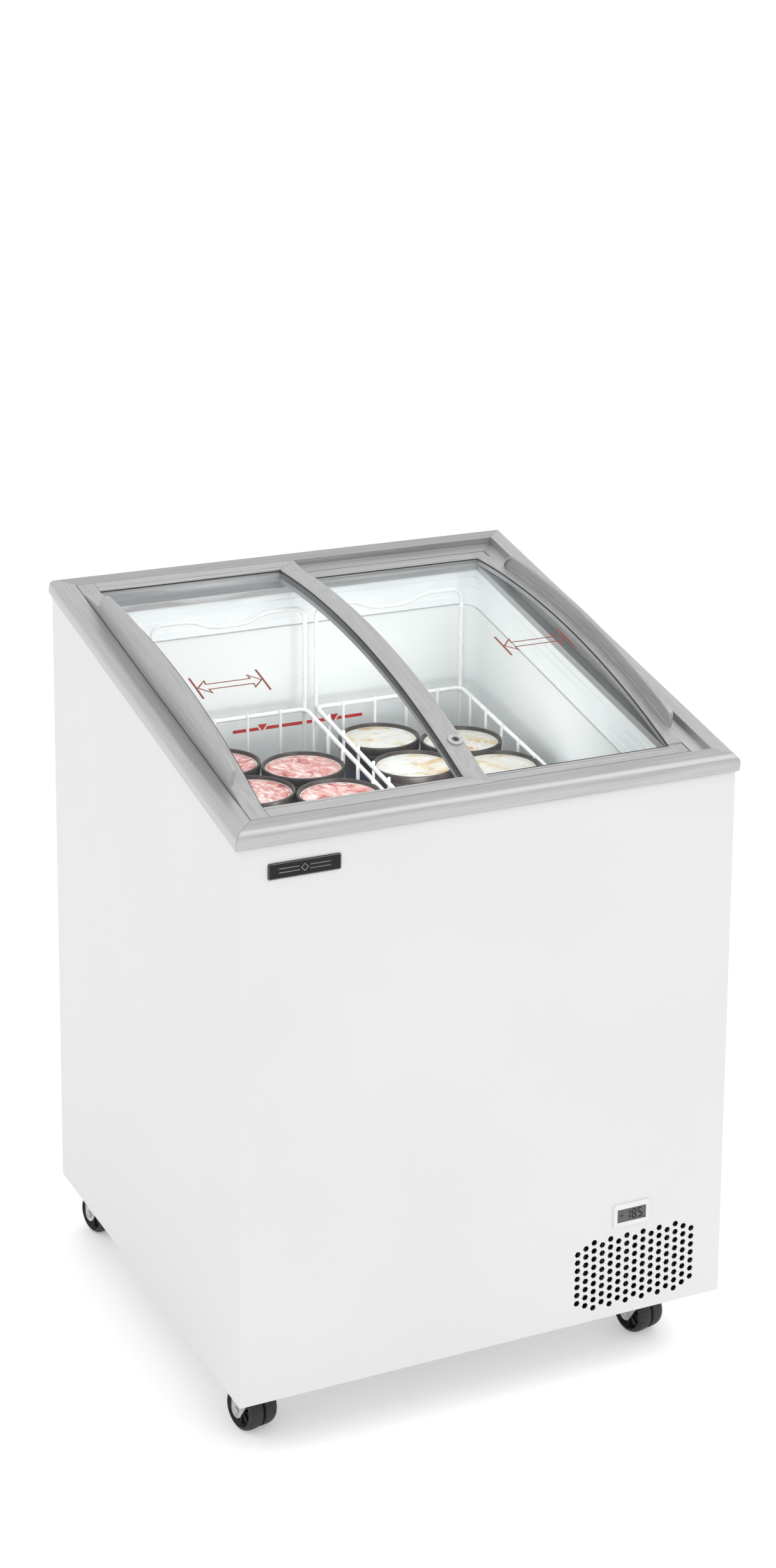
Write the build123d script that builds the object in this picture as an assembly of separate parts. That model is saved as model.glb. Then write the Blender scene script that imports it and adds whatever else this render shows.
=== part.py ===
from build123d import *
import math
import os

# Ice cream dipping cabinet: a foam-insulated chest on four swivel casters, with a sloping aluminium
# top frame, two curved glass lids that slide past each other, two lift-out wire baskets and a
# compressor compartment below the tank. Millimetres. X to the right, Y to the back, Z up, and the
# origin on the floor below the middle of the outer box.

# ---- Driving dimensions ------------------------------------------------------------------------
# Casing
CABINET_WIDTH = 612.0
CABINET_DEPTH = 601.0
BODY_BOTTOM = 78.0          # floor to the underside of the casing
BODY_FRONT_HEIGHT = 649.0   # casing height at its front edge
TOP_SLOPE = 11.5            # degrees, the rise of the top towards the back
BODY_CENTRE_Y = -2.4        # the casing stands this far forward, as the rear wheels reach out behind it
SHEET = 1.0                 # painted steel sheet
BASE_SHEET = 1.5            # galvanised compartment floor
CLEAR = 0.3                 # gap between parts that slide or stand on each other
SHAFT_CLEAR = 0.08          # radial clearance of a turning shaft

# Tank
TANK_HALF = 240.0           # half of the tank's inner width and depth
TANK_CORNER = 30.0
TANK_FLOOR = 368.0          # upper face of the tank floor
FLOOR_FOAM = 50.0
LINER = 1.0
LINER_TOP_DEPTH = 45.0      # liner edge below the casing's top plane
THROAT_TOP_HALF = 250.0     # half width of the plastic throat under the top frame
THROAT_WALL = 2.0
THROAT_CORNER = 3.0
COIL_RADIUS = 4.0
COIL_OFFSET = 5.5           # coil centreline outside the tank's inner face
COIL_TURNS = 5
COIL_PITCH = 52.0
COIL_BOTTOM = 405.0

# Top frame, one stepped section mitred round all four sides
FRAME_OVERHANG = 3.5
FRAME_TOP = 20.0
FRAME_NOSE_RADIUS = 10.0
FLANGE_WIDTH = 25.5
UPPER_LEDGE_END = 42.0
LOWER_LEDGE_END = 58.5
UPPER_LEDGE = 10.0
FRAME_SKIRT = 8.0

# Lids
ARCH_RADIUS = 1262.5
ARCH_RISE = 26.6
ARCH_HALF_UPPER = 258.0
ARCH_HALF_LOWER = 250.0
LID_STEP = 10.5             # the lower lid's arch lies this far under the upper lid's
STILE_THICKNESS = 9.0
GLASS_TOP_DEPTH = 2.0
GLASS_THICKNESS = 4.0
GLASS_BITE = 3.0            # glass held in the grooves of the lid frame
WEB = 3.0
FIN_HEIGHT = 20.0
FIN_LENGTH = 428.0
FIN_CENTRE = -9.0           # the handle's middle, from the middle of the arch
LIP_HEIGHT = 4.0
LIP_WIDTH = 6.0
UPPER_LID_X = (-283.2, 4.6)
LOWER_LID_X = (-19.5, 266.7)
OUTER_STILE = 22.0
UPPER_INNER_STILE = 26.6
LOWER_OUTER_STILE = 19.0
LOWER_INNER_STILE = 23.5
UPPER_RAILS = (20.0, 19.0)  # front and back rail widths
LOWER_RAILS = (16.0, 19.0)
LID_SIDE_GAP = 0.8
FIN_RAMP = 22.0             # the handle's back end runs out over this length
BRUSH_SECTION = (3.0, 1.0)

# Lock in the upper lid's centre stile
LOCK_X = -5.0
LOCK_RUN = -205.0           # from the middle of the arch
HOUSING_RADIUS = 9.0
HOUSING_SHANK = 5.8
BARREL_RADIUS = 4.2
ESCUTCHEON = 2.2
CAM_SIZE = (5.0, 7.5, 2.0)
CAM_POCKET = 8.3
CAM_POCKET_DEPTH = 2.6
KEY_SLOT = (1.2, 5.0, 1.5)

# Baskets and tubs
BASKET_INNER_X = 5.0
BASKET_OUTER_X = 213.0
BASKET_HALF_DEPTH = 211.0
BASKET_RIM_BACK = 689.0
BASKET_RIM_SLOPE = 0.14
WIRE = 2.0                  # radius of the coated wire
RIM_WIRE = 2.8              # radius of the rim and handle wire
BASKET_UPRIGHT_PITCH = 44.0
HANDLE_TOP = 820.0
HANDLE_DIP = 11.0
HANDLE_CORNER = 16.0
TUB_LID_RADIUS = 51.0
TUB_LID_HEIGHT = 17.0
TUB_TOP_RADIUS = 48.0
TUB_BASE_RADIUS = 41.0
TUB_HEIGHT = 96.5
TUB_STACK_GAP = 0.1
TUB_LAYERS = 3

# Casters
CASTER_X = 252.0
CASTER_FRONT_Y = BODY_CENTRE_Y - 242.0
CASTER_BACK_Y = BODY_CENTRE_Y + 258.0
CASTER_HEADING = 13.0       # degrees each fork is turned about its upright axis
WHEEL_RADIUS = 26.0
WHEEL_TRAIL = 25.0
WHEEL_WIDTH = 17.5
WHEEL_GAP = 3.0
FORK_INNER = 20.0
FORK_SHEET = 2.0
AXLE_RADIUS = 3.0
HEAD_RADIUS = 25.0

PLATE_HALF = 28.0
PLATE_THICKNESS = 2.5
PLATE_CORNER = 6.0
RACE_RADIUS = 20.0
RACE_BOTTOM = 71.2
HEAD_TOP = 70.7
HEAD_BOTTOM = 63.0
CHEEK = ((-6.0, 33.0), (46.0, 58.0))  # along the trail, and the heights of its back and front edges
CHEEK_TIP = 9.0
DECK_FRONT = -4.0
RIVET_HEAD = (4.2, 2.0, 1.6)    # radius, height and rounding of the axle's heads
TREAD_ROUND = 5.0
PEDAL_PIVOT = (16.0, 58.5)  # along the trail, height
PEDAL_PIN = 2.0
PEDAL_HUB = 4.0
PEDAL_ARM = (28.0, 2.4, 40.0)   # width, thickness, reach
PEDAL_PAD = (32.0, 38.0, 47.0, 54.5, 64.5)  # width, then where it starts and ends along and up
PEDAL_SHOE = (24.0, 24.0, 30.0, 54.0)       # width, start, end, lower face

# Grille, badge and thermometer on the front panel
GRILLE_COUNTS = (7, 8, 9, 8, 9, 8, 9, 8, 9, 8, 9, 8, 9, 8, 7)
GRILLE_X = 190.4
GRILLE_Z = BODY_BOTTOM + 57.3
GRILLE_PITCH_X = 10.83
GRILLE_PITCH_Z = 10.3
HEX_RADIUS = 4.0
BADGE_SIZE = (84.5, 18.0, 1.5)
BADGE_CENTRE = (-229.3, BODY_BOTTOM + 618.8)
BEZEL_SIZE = (48.0, 28.6)
BEZEL_CENTRE = (184.0, BODY_BOTTOM + 125.5)
BEZEL_PROUD = 2.0
WINDOW_SIZE = (38.0, 16.4)
METER_DEPTH = 10.0

# Rear cover of the machine compartment
VENT_SLOT = (110.0, 5.0)
VENT_X = 72.0
VENT_ROWS = 9
VENT_PITCH = 14.0
VENT_BOTTOM = 138.0
KNOB_X = 200.0
KNOB_Z = 250.0
KNOB_RADIUS = 16.0
KNOB_LENGTH = 13.0
STEM_RADIUS = 3.0
GLAND_X = -240.0
GLAND_Z = 120.0
GLAND_RADIUS = 8.0

# Machine compartment
COMPRESSOR = (-90.0, 90.0)
COMPRESSOR_RADIUS = 66.0
COMPRESSOR_HEIGHT = 150.0
COMPRESSOR_CROWN = 28.0
FOOT_PLATE = (150.0, 110.0, 3.0)
FOOT_RADIUS = 9.0
FOOT_HEIGHT = 12.0
CONDENSER_X = (116.0, 264.0)
CONDENSER_GAP = 12.0        # behind the front panel
CONDENSER_SIZE = (50.0, 150.0)
FIN_PITCH = 8.0
FAN_X = 190.0
FAN_GAP = 92.0              # behind the front panel
FAN_Z = 159.5
FAN_RADIUS = 62.0
FAN_BLADES = 5
FAN_BLADE = (52.0, 26.0, 1.6)
FAN_BLADE_PITCH = 28.0
FAN_HUB = (14.0, 12.0)
FAN_SHAFT = 2.5
SHROUD_HALF = 74.0

# ---- Worked-out places -------------------------------------------------------------------------
SLOPE = math.radians(TOP_SLOPE)
HALF_WIDTH = CABINET_WIDTH / 2
FRONT_Y = BODY_CENTRE_Y - CABINET_DEPTH / 2
BACK_Y = BODY_CENTRE_Y + CABINET_DEPTH / 2
TOP_FRONT_Z = BODY_BOTTOM + BODY_FRONT_HEIGHT
SLANT_LENGTH = CABINET_DEPTH / math.cos(SLOPE)
COMPARTMENT_TOP = TANK_FLOOR - LINER - FLOOR_FOAM
DECK = BODY_BOTTOM + BASE_SHEET
CONDENSER_Y = (FRONT_Y + CONDENSER_GAP, FRONT_Y + CONDENSER_GAP + CONDENSER_SIZE[0])
CONDENSER_Z = (DECK + 4, DECK + 4 + CONDENSER_SIZE[1])
FAN_CENTRE = (FAN_X, FRONT_Y + FAN_GAP, FAN_Z)
FRAME_START = -FRAME_OVERHANG
FRAME_END = SLANT_LENGTH + FRAME_OVERHANG
FRAME_HALF = HALF_WIDTH + FRAME_OVERHANG
ARCH_CENTRE = (FRAME_START + FRAME_END) / 2
BIG = 2000.0                # larger than the whole object, for cutting solids

# The sloping top has its own axes: X along the front, Y up the slope from the casing's front edge,
# and Z square to the slope from the casing's top plane.
SLANT = Plane(
    origin=(0, FRONT_Y, TOP_FRONT_Z),
    x_dir=(1, 0, 0),
    z_dir=(0, -math.sin(SLOPE), math.cos(SLOPE)),
)

os.makedirs("parts", exist_ok=True)


# ---- Helpers -----------------------------------------------------------------------------------
def save(name, *solids):
    """Write one node; several solids stay separate inside it."""
    pieces = []
    for item in solids:
        pieces.extend(item.solids())
    shape = pieces[0] if len(pieces) == 1 else Compound(children=pieces)
    export_step(shape, f"parts/{name}.step")


def block(x0, x1, y0, y1, z0, z1):
    """Box between two opposite corners."""
    size = Box(x1 - x0, y1 - y0, z1 - z0, align=(Align.MIN, Align.MIN, Align.MIN))
    return Pos(x0, y0, z0) * size


def rod(start, end, radius):
    """Straight round bar from one point to another."""
    reach = Vector(*end) - Vector(*start)
    return extrude(Plane(origin=start, z_dir=reach) * Circle(radius), amount=reach.length)


def tube_along(points, radius, bend):
    """Round bar along straight runs joined by tangent arcs."""
    path = FilletPolyline(*points, radius=bend)
    start = Vector(*points[1]) - Vector(*points[0])
    return sweep(Plane(origin=points[0], z_dir=start) * Circle(radius), path=path)


def seat(solid):
    """Carry a solid from the slope's own axes onto the cabinet."""
    return SLANT.location * solid


def below_slant(depth):
    """Everything under the plane that lies this far below the casing's top plane."""
    return seat(block(-BIG, BIG, -BIG, BIG, -BIG, -depth))


def prism_x(face, x0, x1):
    """Extrude a face drawn in (up the slope, square to it) between two X positions."""
    return extrude(Plane(origin=(x0, 0, 0), x_dir=(0, 1, 0), z_dir=(1, 0, 0)) * face, amount=x1 - x0)


def outline(points):
    """Filled polygon."""
    return make_face(Polyline(*points, close=True))


# ---- Casing ------------------------------------------------------------------------------------
def grille_holes():
    """Hexagonal vents, in staggered columns that are shorter at both ends."""
    cutter = extrude(Plane.XZ * RegularPolygon(HEX_RADIUS, 6), amount=SHEET * 4, both=True)
    first = GRILLE_X - GRILLE_PITCH_X * (len(GRILLE_COUNTS) - 1) / 2
    spots = []
    for column, count in enumerate(GRILLE_COUNTS):
        x = first + column * GRILLE_PITCH_X
        low = GRILLE_Z - GRILLE_PITCH_Z * (count - 1) / 2
        for row in range(count):
            spots.append(Pos(x, FRONT_Y, low + row * GRILLE_PITCH_Z))
    return [spot * cutter for spot in spots]


def make_front_panel():
    panel = block(-HALF_WIDTH, HALF_WIDTH, FRONT_Y, FRONT_Y + SHEET, BODY_BOTTOM, BIG)
    panel = panel & below_slant(0)
    panel -= grille_holes()
    window = Pos(BEZEL_CENTRE[0], FRONT_Y, BEZEL_CENTRE[1]) * Box(
        WINDOW_SIZE[0] + 6, SHEET * 4, WINDOW_SIZE[1] + 6
    )
    return panel - window


def make_side_panel(side):
    edges = sorted((side * HALF_WIDTH, side * (HALF_WIDTH - SHEET)))
    panel = block(*edges, FRONT_Y + SHEET, BACK_Y - SHEET, BODY_BOTTOM, BIG)
    return panel & below_slant(0)


def make_back_panel():
    panel = block(-HALF_WIDTH, HALF_WIDTH, BACK_Y - SHEET, BACK_Y, COMPARTMENT_TOP, BIG)
    return panel & below_slant(0)


def make_rear_vent_cover():
    cover = block(
        -HALF_WIDTH, HALF_WIDTH, BACK_Y - SHEET, BACK_Y, BODY_BOTTOM, COMPARTMENT_TOP
    )
    slot = Box(VENT_SLOT[0], SHEET * 4, VENT_SLOT[1])
    for x in (-VENT_X, VENT_X):
        for row in range(VENT_ROWS):
            cover -= Pos(x, BACK_Y, VENT_BOTTOM + row * VENT_PITCH) * slot
    for x, z, radius in (
        (KNOB_X, KNOB_Z, KNOB_RADIUS + 2),
        (GLAND_X, GLAND_Z, GLAND_RADIUS),
    ):
        cover -= Pos(x, BACK_Y, z) * Rot(90, 0, 0) * Cylinder(radius, SHEET * 4)
    return cover


def make_base_plate():
    inset = SHEET
    return block(
        -HALF_WIDTH + inset, HALF_WIDTH - inset,
        FRONT_Y + inset, BACK_Y - inset,
        BODY_BOTTOM, BODY_BOTTOM + BASE_SHEET,
    )


# ---- Tank, evaporator coil and foam ------------------------------------------------------------
def tank_prism(half, corner, z0):
    """Upright rounded square block, from z0 up."""
    face = RectangleRounded(2 * half, 2 * half, corner)
    return extrude(Plane(origin=(0, BODY_CENTRE_Y, z0)) * face, amount=BIG)


def make_tank_liner():
    outer = tank_prism(TANK_HALF + LINER, TANK_CORNER + LINER, TANK_FLOOR - LINER)
    inner = tank_prism(TANK_HALF, TANK_CORNER, TANK_FLOOR)
    return (outer - inner) & below_slant(LINER_TOP_DEPTH)


def coil_corners():
    """Corner points of the evaporator winding, rising a quarter pitch on each side."""
    reach = TANK_HALF + COIL_OFFSET
    corners = [(-reach, -reach), (reach, -reach), (reach, reach), (-reach, reach)]
    points = []
    for step in range(4 * COIL_TURNS + 1):
        x, y = corners[step % 4]
        points.append((x, BODY_CENTRE_Y + y, COIL_BOTTOM + step * COIL_PITCH / 4))
    return points


def make_evaporator_coil():
    points = coil_corners()
    points[0] = (0.0, points[0][1], points[0][2])
    points[-1] = (points[-1][0], BODY_CENTRE_Y, points[-1][2])
    return tube_along(points, COIL_RADIUS, TANK_CORNER + COIL_OFFSET - 1.5)


def coil_channels():
    """Straight grooves that leave the foam clear of the winding on all four walls."""
    inner = TANK_HALF + LINER
    outer = TANK_HALF + COIL_OFFSET + COIL_RADIUS + 1
    channels = []
    for step, (x, y, z) in enumerate(coil_corners()[:-1]):
        low = z - COIL_RADIUS - 1
        high = z + COIL_PITCH / 4 + COIL_RADIUS + 1
        side = step % 4
        if side in (0, 2):
            near, far = sorted((math.copysign(inner, side - 1), math.copysign(outer, side - 1)))
            channels.append(
                block(-outer, outer, BODY_CENTRE_Y + near, BODY_CENTRE_Y + far, low, high)
            )
        else:
            near, far = sorted((math.copysign(inner, 2 - side), math.copysign(outer, 2 - side)))
            channels.append(
                block(near, far, BODY_CENTRE_Y - outer, BODY_CENTRE_Y + outer, low, high)
            )
    return channels


def throat(extra, top_corner, bottom_corner):
    """Tapered block between the frame's skirt and the liner's edge, lofted square to the slope."""
    faces = []
    for depth, half, corner in (
        (FRAME_SKIRT, THROAT_TOP_HALF + extra, top_corner),
        (LINER_TOP_DEPTH, TANK_HALF + extra, bottom_corner),
    ):
        low = (CABINET_DEPTH / 2 - half - depth * math.sin(SLOPE)) / math.cos(SLOPE)
        high = (CABINET_DEPTH / 2 + half - depth * math.sin(SLOPE)) / math.cos(SLOPE)
        section = RectangleRounded(2 * half, high - low, corner)
        faces.append(Plane(origin=(0, (low + high) / 2, -depth)) * section)
    return seat(loft(faces, ruled=True))


def make_breaker_frame():
    outer = throat(THROAT_WALL, THROAT_CORNER + THROAT_WALL, TANK_CORNER + THROAT_WALL)
    return outer - throat(0.0, THROAT_CORNER, TANK_CORNER)


def make_foam():
    """Rigid foam: four wall slabs and the floor slab."""
    wall = TANK_HALF + LINER
    side = HALF_WIDTH - SHEET
    low = COMPARTMENT_TOP
    front_back = [
        block(-side, side, FRONT_Y + SHEET, BODY_CENTRE_Y - wall, low, BIG),
        block(-side, side, BODY_CENTRE_Y + wall, BACK_Y - SHEET, low, BIG),
    ]
    sides = [
        block(-side, -wall, BODY_CENTRE_Y - wall, BODY_CENTRE_Y + wall, low, BIG),
        block(wall, side, BODY_CENTRE_Y - wall, BODY_CENTRE_Y + wall, low, BIG),
    ]
    cut_top = below_slant(FRAME_SKIRT)
    mouth = throat(THROAT_WALL, THROAT_CORNER + THROAT_WALL, TANK_CORNER + THROAT_WALL)
    channels = coil_channels()
    slabs = [((slab & cut_top) - mouth) - channels for slab in front_back + sides]
    floor = block(-wall, wall, BODY_CENTRE_Y - wall, BODY_CENTRE_Y + wall, low, TANK_FLOOR - LINER)
    return slabs + [floor]


# ---- Top frame ---------------------------------------------------------------------------------
def frame_section():
    """The stepped section: distance in from the outer face, height above the casing's top plane."""
    inset = FRAME_OVERHANG + SHEET + 2
    start = Polyline((inset, 0), (0, 0), (0, FRAME_TOP - FRAME_NOSE_RADIUS))
    nose = JernArc(
        (0, FRAME_TOP - FRAME_NOSE_RADIUS), (0, 1), FRAME_NOSE_RADIUS, -90
    )
    rest = Polyline(
        (FRAME_NOSE_RADIUS, FRAME_TOP),
        (FLANGE_WIDTH, FRAME_TOP),
        (FLANGE_WIDTH, UPPER_LEDGE),
        (UPPER_LEDGE_END, UPPER_LEDGE),
        (UPPER_LEDGE_END, 0),
        (LOWER_LEDGE_END, 0),
        (LOWER_LEDGE_END, -FRAME_SKIRT),
        (inset, -FRAME_SKIRT),
        (inset, 0),
    )
    return make_face(start + nose + rest)


def frame_bar(inward, across, half_length, start, name):
    """One mitred bar. inward points to the middle of the opening, across along the bar."""
    plane = Plane(origin=start, x_dir=inward, z_dir=across)
    bar = extrude(plane * frame_section(), amount=half_length, both=True)
    return name, bar


def make_frame():
    """Front, back, left and right bars, cut at 45 degrees where they meet."""
    middle = ARCH_CENTRE
    half_run = (FRAME_END - FRAME_START) / 2
    bars = [
        frame_bar((0, 1, 0), (1, 0, 0), FRAME_HALF, (0, FRAME_START, 0), "frame_front"),
        frame_bar((0, -1, 0), (-1, 0, 0), FRAME_HALF, (0, FRAME_END, 0), "frame_back"),
        frame_bar((1, 0, 0), (0, -1, 0), half_run, (-FRAME_HALF, middle, 0), "frame_left"),
        frame_bar((-1, 0, 0), (0, 1, 0), half_run, (FRAME_HALF, middle, 0), "frame_right"),
    ]
    corners = [
        (-FRAME_HALF, FRAME_START),
        (FRAME_HALF, FRAME_START),
        (FRAME_HALF, FRAME_END),
        (-FRAME_HALF, FRAME_END),
    ]
    reach = min(FRAME_HALF, half_run) - 1
    inner = [
        (-FRAME_HALF + reach, FRAME_START + reach),
        (FRAME_HALF - reach, FRAME_START + reach),
        (FRAME_HALF - reach, FRAME_END - reach),
        (-FRAME_HALF + reach, FRAME_END - reach),
    ]
    wedges = {
        "frame_front": [corners[0], corners[1], inner[1], inner[0]],
        "frame_right": [corners[1], corners[2], inner[2], inner[1]],
        "frame_back": [corners[2], corners[3], inner[3], inner[2]],
        "frame_left": [corners[3], corners[0], inner[0], inner[3]],
    }
    result = {}
    for name, bar in bars:
        wedge = extrude(Plane.XY * outline(wedges[name]), amount=BIG / 20, both=True)
        result[name] = seat(bar & wedge)
    return result


# ---- Lids --------------------------------------------------------------------------------------
def arch_height(run, level, offset):
    """Height of the arch at a place up the slope, for a circle this far outside the lid's top."""
    radius = ARCH_RADIUS + offset
    centre = level + ARCH_RISE - ARCH_RADIUS
    return centre + math.sqrt(radius ** 2 - (run - ARCH_CENTRE) ** 2)


def arch_edge(run0, run1, level, offset):
    """Arc of that circle between two places up the slope."""
    middle = (run0 + run1) / 2
    points = [(run, arch_height(run, level, offset)) for run in (run0, middle, run1)]
    return ThreePointArc(*points)


def arch_band(run0, run1, level, low, high):
    """Face between two concentric arcs, with straight ends."""
    top = arch_edge(run0, run1, level, high)
    bottom = arch_edge(run0, run1, level, low)
    ends = [Line(bottom @ 0, top @ 0), Line(bottom @ 1, top @ 1)]
    return make_face(top + bottom + ends)


def arch_web(run0, run1, level, foot):
    """Face from a straight foot up to the underside of the arched stile."""
    top = arch_edge(run0, run1, level, -STILE_THICKNESS)
    sides = Polyline(top @ 0, (run0, foot), (run1, foot), top @ 1)
    return make_face(top + sides)


class Lid:
    """Levels and extents shared by the pieces of one lid."""

    def __init__(self, x_range, ledge_end, level, foot, top, arch_half, rails):
        self.x0, self.x1 = x_range
        self.s0 = FRAME_START + ledge_end + LID_SIDE_GAP
        self.s1 = FRAME_END - ledge_end - LID_SIDE_GAP
        self.level = level
        self.foot = foot
        self.top = top
        self.arch0 = ARCH_CENTRE - arch_half
        self.arch1 = ARCH_CENTRE + arch_half
        self.front_rail = self.s0 + rails[0]
        self.back_rail = self.s1 - rails[1]

    def stile(self, x0, x1):
        """Arched bar with a flat block at each end."""
        band = arch_band(self.arch0, self.arch1, self.level, -STILE_THICKNESS, 0.0)
        bar = prism_x(band, x0, x1)
        bar += block(x0, x1, self.s0, self.arch0, self.foot, self.top)
        bar += block(x0, x1, self.arch1, self.s1, self.foot, self.top)
        return bar

    def glass(self, x0, x1):
        """Curved pane, held in the stiles and the rails."""
        run0 = self.front_rail - GLASS_BITE
        run1 = self.back_rail + GLASS_BITE
        low = -GLASS_TOP_DEPTH - GLASS_THICKNESS
        band = arch_band(run0, run1, self.level, low, -GLASS_TOP_DEPTH)
        return prism_x(band, x0 - GLASS_BITE, x1 + GLASS_BITE)

    def outer_stile(self, x0, x1, outer_side):
        """Stile with a web down to the ledge and a finger fin along its outer edge."""
        edge = x0 if outer_side < 0 else x1
        web_x = sorted((edge, edge - outer_side * WEB))
        lip_x = sorted((edge, edge - outer_side * LIP_WIDTH))
        web = arch_web(self.arch0, self.arch1, self.level, self.foot)
        fin, lip = self.fin_faces()
        bar = self.stile(x0, x1) + prism_x(web, *web_x)
        return bar + prism_x(fin, *web_x) + prism_x(lip, *lip_x)

    def fin_faces(self):
        """Finger fin, cut square at the front and running out at the back, and its rolled lip."""
        fin0 = ARCH_CENTRE + FIN_CENTRE - FIN_LENGTH / 2
        fin1 = ARCH_CENTRE + FIN_CENTRE + FIN_LENGTH / 2
        crest_end = fin1 - FIN_RAMP
        crest = arch_edge(fin0, crest_end, self.level, FIN_HEIGHT)
        root = arch_edge(fin0, fin1, self.level, -1.0)
        ends = [Line(root @ 0, crest @ 0), Line(crest @ 1, root @ 1)]
        lip = arch_band(fin0, crest_end, self.level, FIN_HEIGHT - LIP_HEIGHT, FIN_HEIGHT)
        return make_face(crest + root + ends), lip

    def rails(self, x0, x1):
        front = block(x0, x1, self.s0, self.front_rail, self.foot, self.top)
        back = block(x0, x1, self.back_rail, self.s1, self.foot, self.top)
        return [front, back]


UPPER = Lid(
    UPPER_LID_X, FLANGE_WIDTH, FRAME_TOP, UPPER_LEDGE + CLEAR, FRAME_TOP,
    ARCH_HALF_UPPER, UPPER_RAILS,
)
LOWER = Lid(
    LOWER_LID_X, UPPER_LEDGE_END, FRAME_TOP - LID_STEP, CLEAR, UPPER_LEDGE - CLEAR,
    ARCH_HALF_LOWER, LOWER_RAILS,
)

def lock_plane():
    """Plane on the centre stile's top face, square to the arch at the lock."""
    run = ARCH_CENTRE + LOCK_RUN
    lean = math.asin(LOCK_RUN / ARCH_RADIUS)
    height = arch_height(run, UPPER.level, 0.0)
    normal = (0, math.sin(lean), math.cos(lean))
    return Plane(origin=(LOCK_X, run, height), x_dir=(1, 0, 0), z_dir=normal)


def lock_disc(radius, z0, z1):
    """Round slice of the lock between two heights from the stile's face."""
    plane = lock_plane().offset(z0)
    return extrude(plane * Circle(radius), amount=z1 - z0)


def make_lock():
    """Housing fixed in the stile, and the key barrel with its cam."""
    pocket_top = CAM_POCKET_DEPTH - STILE_THICKNESS
    housing = lock_disc(HOUSING_RADIUS, 0, ESCUTCHEON) + lock_disc(HOUSING_SHANK, pocket_top, 0)
    housing -= lock_disc(BARREL_RADIUS + SHAFT_CLEAR, -STILE_THICKNESS, ESCUTCHEON)
    width, reach, thickness = CAM_SIZE
    low = pocket_top - CLEAR - thickness
    barrel = lock_disc(BARREL_RADIUS, low, ESCUTCHEON)
    cam_face = lock_plane().offset(low) * Pos(0, reach / 2) * Rectangle(width, reach)
    cam = extrude(cam_face, amount=thickness)
    slot_face = lock_plane().offset(ESCUTCHEON - KEY_SLOT[2]) * Rectangle(*KEY_SLOT[:2])
    key_slot = extrude(slot_face, amount=2 * KEY_SLOT[2])
    return seat(housing), seat(barrel + cam - key_slot)


def make_lids():
    """All pieces of both lids, by node name."""
    pieces = {}
    inner_x0 = UPPER.x1 - UPPER_INNER_STILE
    outer_x1 = UPPER.x0 + OUTER_STILE
    glass = UPPER.glass(outer_x1, inner_x0)
    shank = lock_disc(HOUSING_SHANK, -BIG / 50, BIG / 50)
    pocket = lock_disc(CAM_POCKET, -BIG / 50, CAM_POCKET_DEPTH - STILE_THICKNESS)
    pieces["lid_left_glass"] = [glass]
    pieces["lid_left_outer_stile"] = [UPPER.outer_stile(UPPER.x0, outer_x1, -1) - glass]
    pieces["lid_left_inner_stile"] = [UPPER.stile(inner_x0, UPPER.x1) - glass - shank - pocket]
    pieces["lid_left_rails"] = [rail - glass for rail in UPPER.rails(outer_x1, inner_x0)]
    brush_width, brush_height = BRUSH_SECTION
    brush = arch_band(
        UPPER.arch0 + 10, UPPER.arch1 - 10, UPPER.level,
        -STILE_THICKNESS - brush_height, -STILE_THICKNESS,
    )
    pieces["lid_left_brush_seal"] = [prism_x(brush, inner_x0, inner_x0 + brush_width)]

    inner_x1 = LOWER.x0 + LOWER_INNER_STILE
    outer_x0 = LOWER.x1 - LOWER_OUTER_STILE
    glass = LOWER.glass(inner_x1, outer_x0)
    pieces["lid_right_glass"] = [glass]
    pieces["lid_right_outer_stile"] = [LOWER.outer_stile(outer_x0, LOWER.x1, 1) - glass]
    pieces["lid_right_inner_stile"] = [LOWER.stile(LOWER.x0, inner_x1) - glass]
    pieces["lid_right_rails"] = [rail - glass for rail in LOWER.rails(inner_x1, outer_x0)]
    return {name: [seat(solid) for solid in solids] for name, solids in pieces.items()}


# ---- Baskets and tubs --------------------------------------------------------------------------
def rim_height(y):
    """The rim falls towards the front of the cabinet."""
    return BASKET_RIM_BACK - (BODY_CENTRE_Y + BASKET_HALF_DEPTH - y) * BASKET_RIM_SLOPE


def spaced(low, high, pitch):
    """Even places across a span, centred, about one pitch apart."""
    count = int((high - low) / pitch)
    middle = (low + high) / 2
    return [middle + (i - (count - 1) / 2) * pitch for i in range(count)]


def cross_panel(x0, x1, y, floor):
    """Front or back wall of a basket: rim, middle and bottom wires, and uprights."""
    top = rim_height(y)
    wires = rod((x0, y, top), (x1, y, top), RIM_WIRE)
    for z in ((top + floor) / 2, floor):
        wires += rod((x0, y, z), (x1, y, z), WIRE)
    for x in [x0 + WIRE] + spaced(x0, x1, BASKET_UPRIGHT_PITCH) + [x1 - WIRE]:
        wires += rod((x, y, floor), (x, y, top), WIRE)
    return wires


def side_panel(x, y0, y1, floor):
    """Side wall of a basket, with its rim sloping down to the front."""
    wires = rod((x, y0, rim_height(y0)), (x, y1, rim_height(y1)), RIM_WIRE)
    middle = (rim_height(y0) + floor) / 2
    for z in (middle, floor):
        wires += rod((x, y0, z), (x, y1, z), WIRE)
    for y in spaced(y0, y1, BASKET_UPRIGHT_PITCH):
        wires += rod((x, y, floor), (x, y, rim_height(y)), WIRE)
    return wires


def basket_floor(x0, x1, y0, y1, z):
    """Floor grid of a basket."""
    wires = None
    for x in spaced(x0, x1, BASKET_UPRIGHT_PITCH):
        bar = rod((x, y0, z), (x, y1, z), WIRE)
        wires = bar if wires is None else wires + bar
    for y in spaced(y0, y1, BASKET_UPRIGHT_PITCH):
        wires += rod((x0, y, z), (x1, y, z), WIRE)
    return wires


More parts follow.
